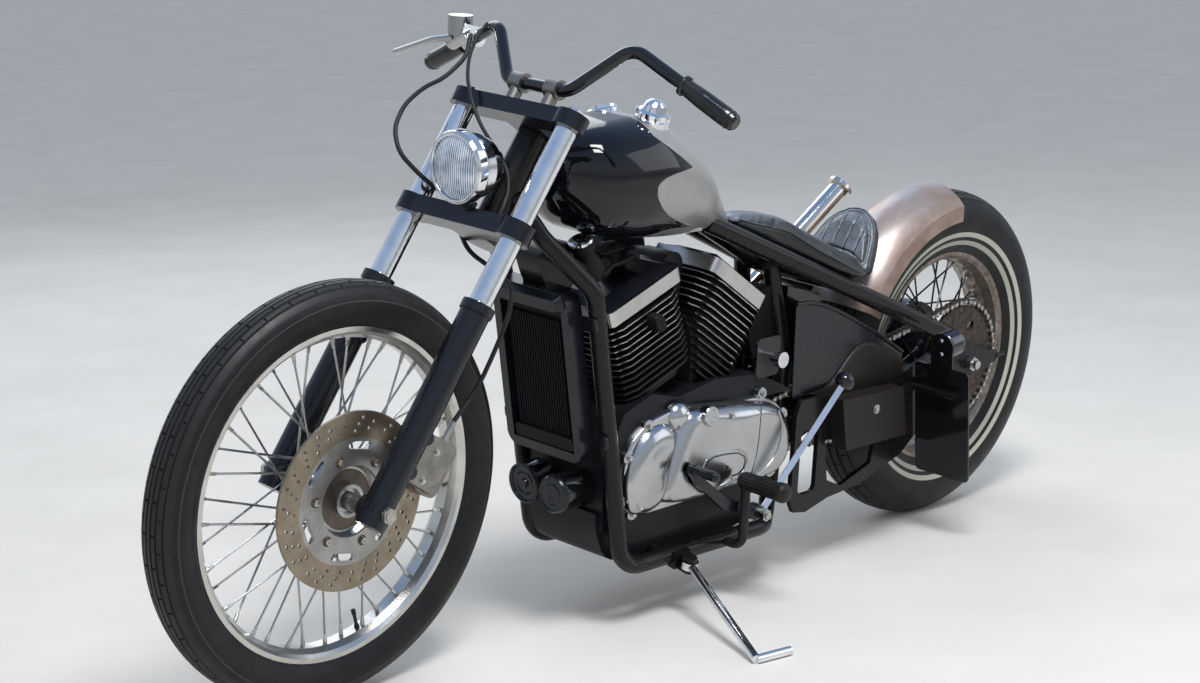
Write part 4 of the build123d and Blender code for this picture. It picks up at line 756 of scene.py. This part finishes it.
# Caliper: round piston covers and two bolts
pistons, bolts = Form(), Form()
for up, bolt_up in ((94, 84), (136, 136)):
    at = fork_point(up, -116, 85)
    pistons.spun(at, at + LEFT, ((0, 19), (3.5, 19), (5, 17), (5, 8), (4, 6)), 40)
    bolts.screw(fork_point(bolt_up, -88, 96.5), LEFT, 4.5, 5)
pistons.make("caliper_pistons", CAST, "fork_alloy", "steering")
bolts.make("caliper_bolts", STEEL, "axle_steel", "steering")

# Sleeves at both ends of the brake hose
HOSE_AHEAD, HOSE_Y = -112, 76
sleeves = Form()
sleeves.spun((1125.5, -203.5, 1040), (1140, -199, 1010), ((0, 6), (10, 6), (10, 5), (22, 5), (23, 4.4)), 20)
foot = fork_point(163.25, HOSE_AHEAD, HOSE_Y)
sleeves.spun(foot, fork_point(200, HOSE_AHEAD, HOSE_Y), ((0, 8), (5, 8), (5, 6), (18, 6), (19, 4.6)), 6)
sleeves.spun(foot + FORK_UP * 18, fork_point(240, HOSE_AHEAD, HOSE_Y), ((0, 5.4), (16, 5.2), (17, 4.3)), 20)
sleeves.make("hose_sleeves", STEEL, "axle_steel", "steering")

# Left cover: one smooth casting with a thin flange, two rolled bulges and a dome
COVER_FLANGE = ((1006, 236), (1010, 290), (1000, 344), (955, 380), (870, 396), (800, 386), (730, 378),
                (640, 378), (582, 352), (558, 300), (564, 242), (602, 212), (840, 206), (990, 206))
FRONT_BULGE = ((1012, 262), (1000, 318), (966, 364), (920, 376), (880, 362), (886, 290), (902, 222),
               (950, 206), (996, 212))
MAIN_BULGE = ((930, 224), (920, 266), (892, 340), (868, 388), (812, 390), (723, 380), (640, 370), (590, 348),
              (564, 300), (566, 250), (604, 216), (840, 210))
COVER_LUGS = ((997, 322), (950, 372), (998, 244), (980, 214), (640, 380), (575, 330), (600, 222))


def rounded(outline, times=3):
    """A closed outline with its corners cut off evenly."""
    points = [Vector(point) for point in outline]
    for _ in range(times):
        pairs = list(zip(points, points[1:] + points[:1]))
        points = [cut for a, b in pairs for cut in (a.lerp(b, 0.22), a.lerp(b, 0.78))]
    return points


def bulge(form, outline, centre, low, high, roll, dome):
    """A rolled edge up from the flange, then a slightly domed face."""
    centre = Vector(centre)
    levels = [(roll * (1 - cos(pi / 24 * i)), low + (high - low) * sin(pi / 24 * i), 1.0) for i in range(13)]
    levels += [(roll, high + dome * (1 - share ** 2), share) for share in (0.9, 0.75, 0.6, 0.4, 0.2, 0.03)]
    form.rings([[(point.x, y, point.y) for point in
                 (centre + (corner - centre) * (1 - inset / (corner - centre).length) * share
                  for corner in rounded(outline))] for inset, y, share in levels])


cover, grooves, screws = Form(), Form(), Form()
bulge(cover, COVER_FLANGE, (780, 300), 92.2, 106, 7, 0)
bulge(cover, FRONT_BULGE, (945, 286), 98, 126, 34, 6)
bulge(cover, MAIN_BULGE, (745, 300), 98, 134.5, 34, 1.5)
for x, z in COVER_LUGS:
    cover.spun((x, 93, z), (x, 120, z), ((0, 12), (12, 12), (14, 10)), 24)
    screws.screw((x, 106, z), LEFT, 5, 6.5, 20)
screws.screw((755, 133, 363), LEFT, 5, 5, 20)
cover.spun((870, 96, 374), (870, 130, 374), ((0, 30), (8, 29), (16, 24.5), (22, 17), (25, 9), (26, 2)), 40)
cover.tube([(623, 132, 352), (612, 134, 327), (610, 134.6, 302), (619, 134.6, 275), (636, 134.4, 253),
            (659, 133.6, 240), (683, 132.6, 233)], 2.6, 12)
cover.tube([(830, 134.4, 280), (824, 134.6, 292), (803, 134.9, 300), (768, 135.2, 299), (732, 135.2, 295),
            (712, 135, 283), (707, 134.8, 268), (712, 134.6, 254), (727, 134.4, 244), (748, 134, 243)],
     2.4, 12)
cover.spun((763, 134, 272), (763, 140, 272), ((0, 9), (2.6, 8.6), (3.2, 7)), 28)
cover.spun((818, 122, 374), (818, 145, 376), ((0, 19), (16, 19), (18, 17.5), (18, 12), (17, 11)), 40)
cover.make("left_cover_skin", POLISHED, "head_alloy", "frame", ("left_cover",), 35)
# Black tubes inside the raised lips: a painted shade standing for the pocket's grooves
grooves.tube([(672, 131.6, 366), (676, 134.8, 345), (678, 135.6, 304), (682, 135.4, 276), (691, 134.8, 244),
              (697, 132.4, 222)], 0.9, 8)
grooves.tube([(824, 135.2, 282), (818, 135.4, 289), (801, 135.7, 295), (768, 135.9, 294), (735, 135.9, 290),
              (717, 135.8, 280), (713, 135.6, 268), (717, 135.4, 257), (730, 135.2, 249), (746, 135, 248)],
             1.2, 8)
grooves.make("cover_groove_shade", MATT_BLACK, "engine_black")
screws.make("cover_screws", STEEL, "axle_steel")

# Black sheet over the chain's front run, with a rolled upper edge and a hide pouch on it
SHEET_EDGE = ((548, 536), (511, 535), (465, 524), (418, 505), (352, 473), (285, 438), (205, 392))
POUCH = ((541, 360), (450, 345), (352, 434), (305, 429), (220, 393), (199, 369), (217, 341), (245, 336),
         (371, 331))
sheet, pouch = Form(), Form()
sheet.plate([*SHEET_EDGE, (204, 360), (240, 336), (371, 331), (541, 350)], 95.5, 97.5)
sheet.tube([(x, 97.5, z) for x, z in SHEET_EDGE], 4.2, 12)
sheet.make("side_sheet", SATIN_BLACK, "pan_steel")
bulge(pouch, POUCH, (330, 372), 97, 105, 9, 3)
pouch.make("side_pouch", BOX_BLACK, "pan_steel", crease=60)

# Blocks across the middle: the wiring's cover, the neck's gusset, and the sump between the lower rails
for name, half, material, slot, outline in (
        ("wiring_cover", 46, MATT_BLACK, "pan_steel",
         ((548, 425), (600, 425), (622, 470), (612, 545), (580, 566), (548, 560))),
        ("neck_gusset", 28, FRAME_BLACK, "frame_black",
         ((1176, 706), (1066, 712), (1070, 640), (1112, 602), (1150, 640))),
        # The sump stands for the box under the engine, and its black also fills the gap above the lower
        # rails, a painted shade where the floor lies in shadow
        ("sump", 84, ENGINE_BLACK, "engine_black",
         ((1044, 200), (1056, 232), (1050, 186), (1022, 128), (940, 119), (918, 119), (914, 133), (886, 133),
          (882, 119), (860, 119), (642, 119), (622, 160), (650, 190), (716, 166), (960, 158)))):
    block = Form()
    block.plate(rounded(outline, 2), -half, half)
    block.make(name, material, slot)

# Throttle bodies and coolant filler under the tank, with their hoses and bright caps
BODY = ((0, 20), (14, 20), (16, 25), (30, 25), (34, 20), (52, 20), (56, 23), (70, 23), (76, 19), (78, 10),
        (78, 2))
intake, cap = Form(), Form()
for x, z in ((1012, 654), (940, 660)):
    intake.spun((x, -40, z), (x, 40, z), BODY, 28)
    intake.spun((x, 0, z - 20), (x - 14, 14, z - 60), ((0, 9), (18, 9), (20, 11), (28, 11)), 16)
intake.spun((1046, 44, 640), (1082, 44, 712),
            ((0, 15), (10, 22), (26, 25), (40, 22), (48, 17), (62, 17), (66, 21), (80, 21)), 28)
intake.tube([(1058, 44, 664), (1080, 50, 664), (1102, 52, 676), (1128, 58, 690)], 9, 12)
intake.tube([(1040, 60, 650), (1016, 58, 664), (978, 48, 664), (944, 40, 668), (925, 34, 656)], 4, 8)
intake.rod((1014, 20, 676), (940, 20, 680), 6, 10)
intake.make("throttle_bodies", MATT_BLACK, "engine_black")
cap.spun((1081, 44, 709), (1091, 44, 729), ((0, 20), (4, 23), (8, 22), (11, 16), (12, 6), (12, 1)), 28)
cap.spun((1124, 58, 688), (1136, 60, 694), ((0, 9), (3, 12), (8, 12), (10, 8), (11, 2)), 20)
cap.make("intake_cap", CHROME, "cap_chrome")

# Plug cap on the front cylinder, tapered to its ribbed face
PLUG_X, PLUG_Z = 928, 555
plug = Form()
outline = rounded(((948, 570), (920, 574), (908, 542), (934, 536)), 2)
plug.rings([[(PLUG_X + (x - PLUG_X) * k, y, PLUG_Z + (z - PLUG_Z) * k) for x, z in outline]
            for y, k in ((76, 1), (96, 1), (102, 0.85))])
for x, z in ((914, 547), (917, 555), (920, 563)):
    plug.rod((x, 102, z), (x + 24, 102, z - 5), 1.6, 8)
plug.make("plug_cap", MATT_BLACK, "grip_rubber")

# Faces of the horn and of the oil filter
faces = Form()
faces.spun((1099, -46, 258.1), (1109, -46, 257.1),
           ((0, 37), (7, 37.5), (9, 34), (4, 31), (4, 22), (6, 20), (4, 18), (4, 9), (8, 7), (8, 1)), 40)
faces.spun((1111, 40, 262), (1121, 40, 262),
           ((0, 35), (7, 34.5), (11, 31), (8, 28), (8, 20), (11, 17), (11, 9), (9, 7), (9, 1)), 40)
faces.make("horn_faces", SATIN_BLACK, "radiator_black")

# Rails run on into the tank's tail; pegs have ribs along the rubber and a smooth end
PEG_X, PEG_Z = 740, 244
noses, ribs = Form(), Form()
for side in (1, -1):
    noses.rod((705, side * 61.3, 683.6), (768, side * 53, 711), 17, 24)
    for c, s in circle(18):
        x, z = PEG_X + 15.6 * c, PEG_Z + 15.6 * s
        ribs.rod((x, side * 160, z), (x, side * 240, z), 1.7, 8)
    ribs.spun((PEG_X, side * 238, PEG_Z), (PEG_X, side * 300, PEG_Z),
              ((0, 14), (2, 18), (10, 19), (18, 18), (23, 14.5), (25.5, 8)), 36)
noses.make("rail_noses", FRAME_BLACK, "frame_black")
ribs.make("peg_ribs", RUBBER, "grip_rubber")

# Bolts of the brake pedal and of the hand lever, and the lever's knob
bolts, knob = Form(), Form()
bolts.screw((692, 178.5, 172), LEFT, 8, 6)
bolts.screw((343, 149.6, 309), LEFT, 7, 5, 24)
bolts.make("lever_bolts", STEEL, "axle_steel")
knob.spun((494, 175.5, 385), (470, 177, 411),
          ((-1, 9.4), (4, 16.4), (8, 18.6), (13, 19.6), (18, 18.8), (23, 16.6), (27, 12), (29.5, 6)), 36)
knob.make("lever_knob", GLOSS_BLACK, "grip_rubber")

# Valve of the front tyre
VALVE_TURN = radians(-106)
valve = Form()
valve.spun(on_wheel(FRONT_AXLE, 262, VALVE_TURN), on_wheel(FRONT_AXLE, 225, VALVE_TURN),
           ((0, 5), (6, 4.4), (8, 3), (26, 3), (27, 4), (36, 4), (37, 2)), 16)
valve.make("tyre_valve", RUBBER, "rim_steel", "front_wheel")

# Plate: its two screws, and the red lens of the lamp behind it
PLATE_AT, PLATE_TILT = Vector((171, 185, 262)), radians(7.7)
PLATE_OUT = Vector((cos(PLATE_TILT), 0, -sin(PLATE_TILT)))
PLATE_UP = Vector((sin(PLATE_TILT), 0, cos(PLATE_TILT)))


def plate_point(up, out):
    return PLATE_AT + PLATE_UP * up + PLATE_OUT * out


screws, lens = Form(), Form()
for up in (172, 144):
    screws.screw(plate_point(up, 4), PLATE_OUT, 3.6, 3.4, 20)
screws.make("plate_screws", CHROME, "axle_steel")
lens.spun(plate_point(158, -42), plate_point(158, -60), ((0, 15), (3, 21), (6, 19.5), (9, 15), (10.5, 6)), 40)
lens.make("tail_lens", LENS_RED, "pan_steel")


# Seat: a blown-up vinyl shell with pressed seams
# x, half width, underside, outer edge, shoulder, crown
SEAT_SECTIONS = ((306, 87, 562, 569, 577, 584), (373, 114, 564, 577, 597, 603),
                 (426, 110, 578, 600, 625, 630), (480, 88, 603, 631, 652, 658), (533, 67, 629, 665, 679, 682),
                 (584, 57, 653, 682, 690, 692), (626, 48, 673, 693, 698, 699), (660, 36, 690, 702, 705, 706))
SEAT_TAIL, SEAT_NOSE = SEAT_SECTIONS[0][0], SEAT_SECTIONS[-1][0]
# The back pad leans as much as the fork does
BACK_AT, BACK_OUT, BACK_UP = Vector((307, 0, 600)), FORK_AHEAD, FORK_UP
BACK_OUTLINE = ((92, -28), (82, 4), (72, 32), (60, 58), (41, 79), (21, 91), (0, 95))
BACK_SEAMS = ((-42, -12, 52), (-14, -14, 70), (14, -14, 70), (42, -12, 52))
UNDO = PLACE.inverted()


def on_back(y, up, out=0.0):
    return BACK_AT + Vector((0, y, 0)) + BACK_UP * up + BACK_OUT * out


def back_edge():
    """The back pad's outline from one foot to the other, in quarter steps."""
    outline = [*BACK_OUTLINE, *((-y, up) for y, up in reversed(BACK_OUTLINE[:-1]))]
    edge = [(y0 + (y1 - y0) * k / 4, u0 + (u1 - u0) * k / 4)
            for (y0, u0), (y1, u1) in zip(outline, outline[1:]) for k in range(4)]
    return edge + [outline[-1]]


def seat_shell():
    form, rings = Form(), []
    for i in range(41):
        x = SEAT_TAIL + (SEAT_NOSE - SEAT_TAIL) * i / 40
        half, low, edge, shoulder, crown = (smooth(SEAT_SECTIONS, x, column) for column in range(1, 6))
        side = [(half - 3, low), (half, (low + edge) / 2), (half - 2, edge),
                (0.8 * half, (edge + shoulder) / 2 + 3), (0.6 * half, shoulder),
                (0.3 * half, (shoulder + crown) / 2 + 2)]
        rings.append([(x, y, z) for y, z in side] + [(x, 0, crown)] + [(x, -y, z) for y, z in reversed(side)])
    form.rings(rings)
    form.rings([[on_back(y * shrink, 30 + (up - 30) * shrink, out) for y, up in back_edge()]
                for out, shrink in ((-26, 0.94), (-21, 0.99), (-9, 1.0), (-3, 0.985), (0, 0.93))])
    return form


def settled(piece, kind, **values):
    """Applies one modifier to the piece's mesh."""
    change = piece.modifiers.new("change", kind)
    for key, value in values.items():
        setattr(change, key, value)
    graph = bpy.context.evaluated_depsgraph_get()
    old, piece.data = piece.data, bpy.data.meshes.new_from_object(piece.evaluated_get(graph))
    piece.modifiers.remove(change)
    bpy.data.meshes.remove(old)


def inflate(piece, pressure, cap):
    """Blows the shell up like a cushion, and keeps every point within the cap of its start."""
    cloth = piece.modifiers.new("cloth", "CLOTH")
    cloth.settings.use_pressure = True
    cloth.settings.uniform_pressure_force = pressure
    cloth.settings.effector_weights.gravity = 0
    for number in range(1, 21):
        scene.frame_set(number)
    blown = piece.evaluated_get(bpy.context.evaluated_depsgraph_get())
    moved = [vertex.co.copy() for vertex in blown.data.vertices]
    piece.modifiers.remove(cloth)
    for vertex, target in zip(piece.data.vertices, moved):
        shift = target - vertex.co
        if shift.length > cap:
            shift *= cap / shift.length
        vertex.co += shift
    scene.frame_set(1)


def press_seams(piece):
    """Sinks the sewn channels of the back pad and a line inside its edge."""
    inset, depth, width = 15, 3.2, 2.6
    for vertex in piece.data.vertices:
        local = UNDO @ vertex.co - BACK_AT
        y, up, out = abs(local.y), local.dot(BACK_UP), local.dot(BACK_OUT)
        if out < -12 or up < -24:  # behind the pad's face, or down in the seat
            continue
        inside = 1e9
        for (y0, u0), (y1, u1) in zip(BACK_OUTLINE, BACK_OUTLINE[1:]):
            run_y, run_u = y1 - y0, u1 - u0
            share = max(0, min(1, ((y - y0) * run_y + (up - u0) * run_u) / (run_y ** 2 + run_u ** 2)))
            inside = min(inside, hypot(y - y0 - share * run_y, up - u0 - share * run_u))
        lines = [abs(inside - inset)] + ([abs(y - seam[0]) for seam in BACK_SEAMS] if inside > inset else [])
        vertex.co -= (PLACE.to_3x3() @ BACK_OUT) * (depth * exp(-(min(lines) / width) ** 2))


def settle(path, proud):
    """The path moved onto the nearest points of the vinyl."""
    found = [skin.find_nearest(place(point)) for point in path]
    return [UNDO @ (near + normal * proud * 0.001) for near, normal, _, _ in found]


piece = add_object("seat_cover", seat_shell().mesh("seat_cover"))
settled(piece, "REMESH", mode="VOXEL", voxel_size=0.0045)
inflate(piece, pressure=4.0, cap=0.007)
settled(piece, "SUBSURF", levels=1)
settled(piece, "SMOOTH", iterations=3)
press_seams(piece)
dress(piece, VINYL, "frame", ("seat",), 60)
skin = BVHTree.FromPolygons([vertex.co for vertex in piece.data.vertices],
                            [tuple(polygon.vertices) for polygon in piece.data.polygons])
piping, seam_lines = Form(), Form()
PIPING_TAIL, PIPING_NOSE = 335, 655
for side in (1, -1):
    path = []
    for x in (PIPING_TAIL + (PIPING_NOSE - PIPING_TAIL) * i / 44 for i in range(45)):
        path.append((x, side * (smooth(SEAT_SECTIONS, x, 1) + 0.5), smooth(SEAT_SECTIONS, x, 3) + 3))
    piping.tube(settle(path, 0.6), 2.1, 8)
piping.tube(settle([on_back(y, up, -4) for y, up in back_edge()[:-1]], 0.6), 2.1, 8)
# Black thread down the sunk seams; its black also paints the shade in the channels
for y, low, high in BACK_SEAMS:
    seam_lines.tube(settle([on_back(y, low + (high - low) * k / 20) for k in range(21)], 0.2), 0.8, 6)
piping.make("seat_piping", VINYL, "seat_leather")
seam_lines.make("seat_seam_lines", MATT_BLACK, "seat_leather")

# Floor
m = Finish("floor", Roughness=0.85)
m.shade(Base_Color=m.ramp(m.noise(3, 6, 0.6), (0.3, (0.62, 0.61, 0.59)), (0.7, (0.68, 0.67, 0.65))))
mesh, half = bpy.data.meshes.new("floor"), 30
mesh.from_pydata([(-half, -half, 0), (half, -half, 0), (half, half, 0), (-half, half, 0)], [], [(0, 1, 2, 3)])
mesh.materials.append(m.material)
add_object("floor", mesh)

# A pale sky, bluer overhead, for the camera, gloss and glass, and an even soft light for all else
scene.world = scene.world or bpy.data.worlds.new("world")
scene.world.use_nodes = True
m = Nodes(scene.world.node_tree)
m.tree.nodes.clear()
height = Value(m, m.add("SeparateXYZ", Value(m, m.add("TexCoord"), "Generated")), 2)
sky = m.ramp(height, (0.02, (0.50, 0.52, 0.54)), (0.3, (0.54, 0.62, 0.74)), (0.9, (0.22, 0.36, 0.64)))
seen = Value(m, m.add("Background", Color=sky, Strength=1.0))
soft = Value(m, m.add("Background", Color=(0.86, 0.92, 1.0), Strength=0.6))
path = m.add("LightPath")
direct, gloss, clear = (Value(m, path, f"Is {kind} Ray") for kind in ("Camera", "Glossy", "Transmission"))
m.add("OutputWorld", Value(m, m.add("MixShader", direct | gloss | clear, soft, seen)))

# Lamps
for label, at, size, power in (("key", (0.9, 1.6, 4.0), 1.4, 155), ("fill", (-3.0, 3.2, 2.4), 3.0, 34),
                               ("back", (-1.5, -3.5, 3.0), 3.0, 45)):
    lamp = bpy.data.lights.new(label, "AREA")
    lamp.size, lamp.energy = size, power
    holder = add_object(label, lamp)
    holder.location = at
    holder.rotation_euler = (Vector((0, 0, 0.4)) - Vector(at)).to_track_quat("-Z", "Y").to_euler()
scene.view_settings.view_transform = "Standard"
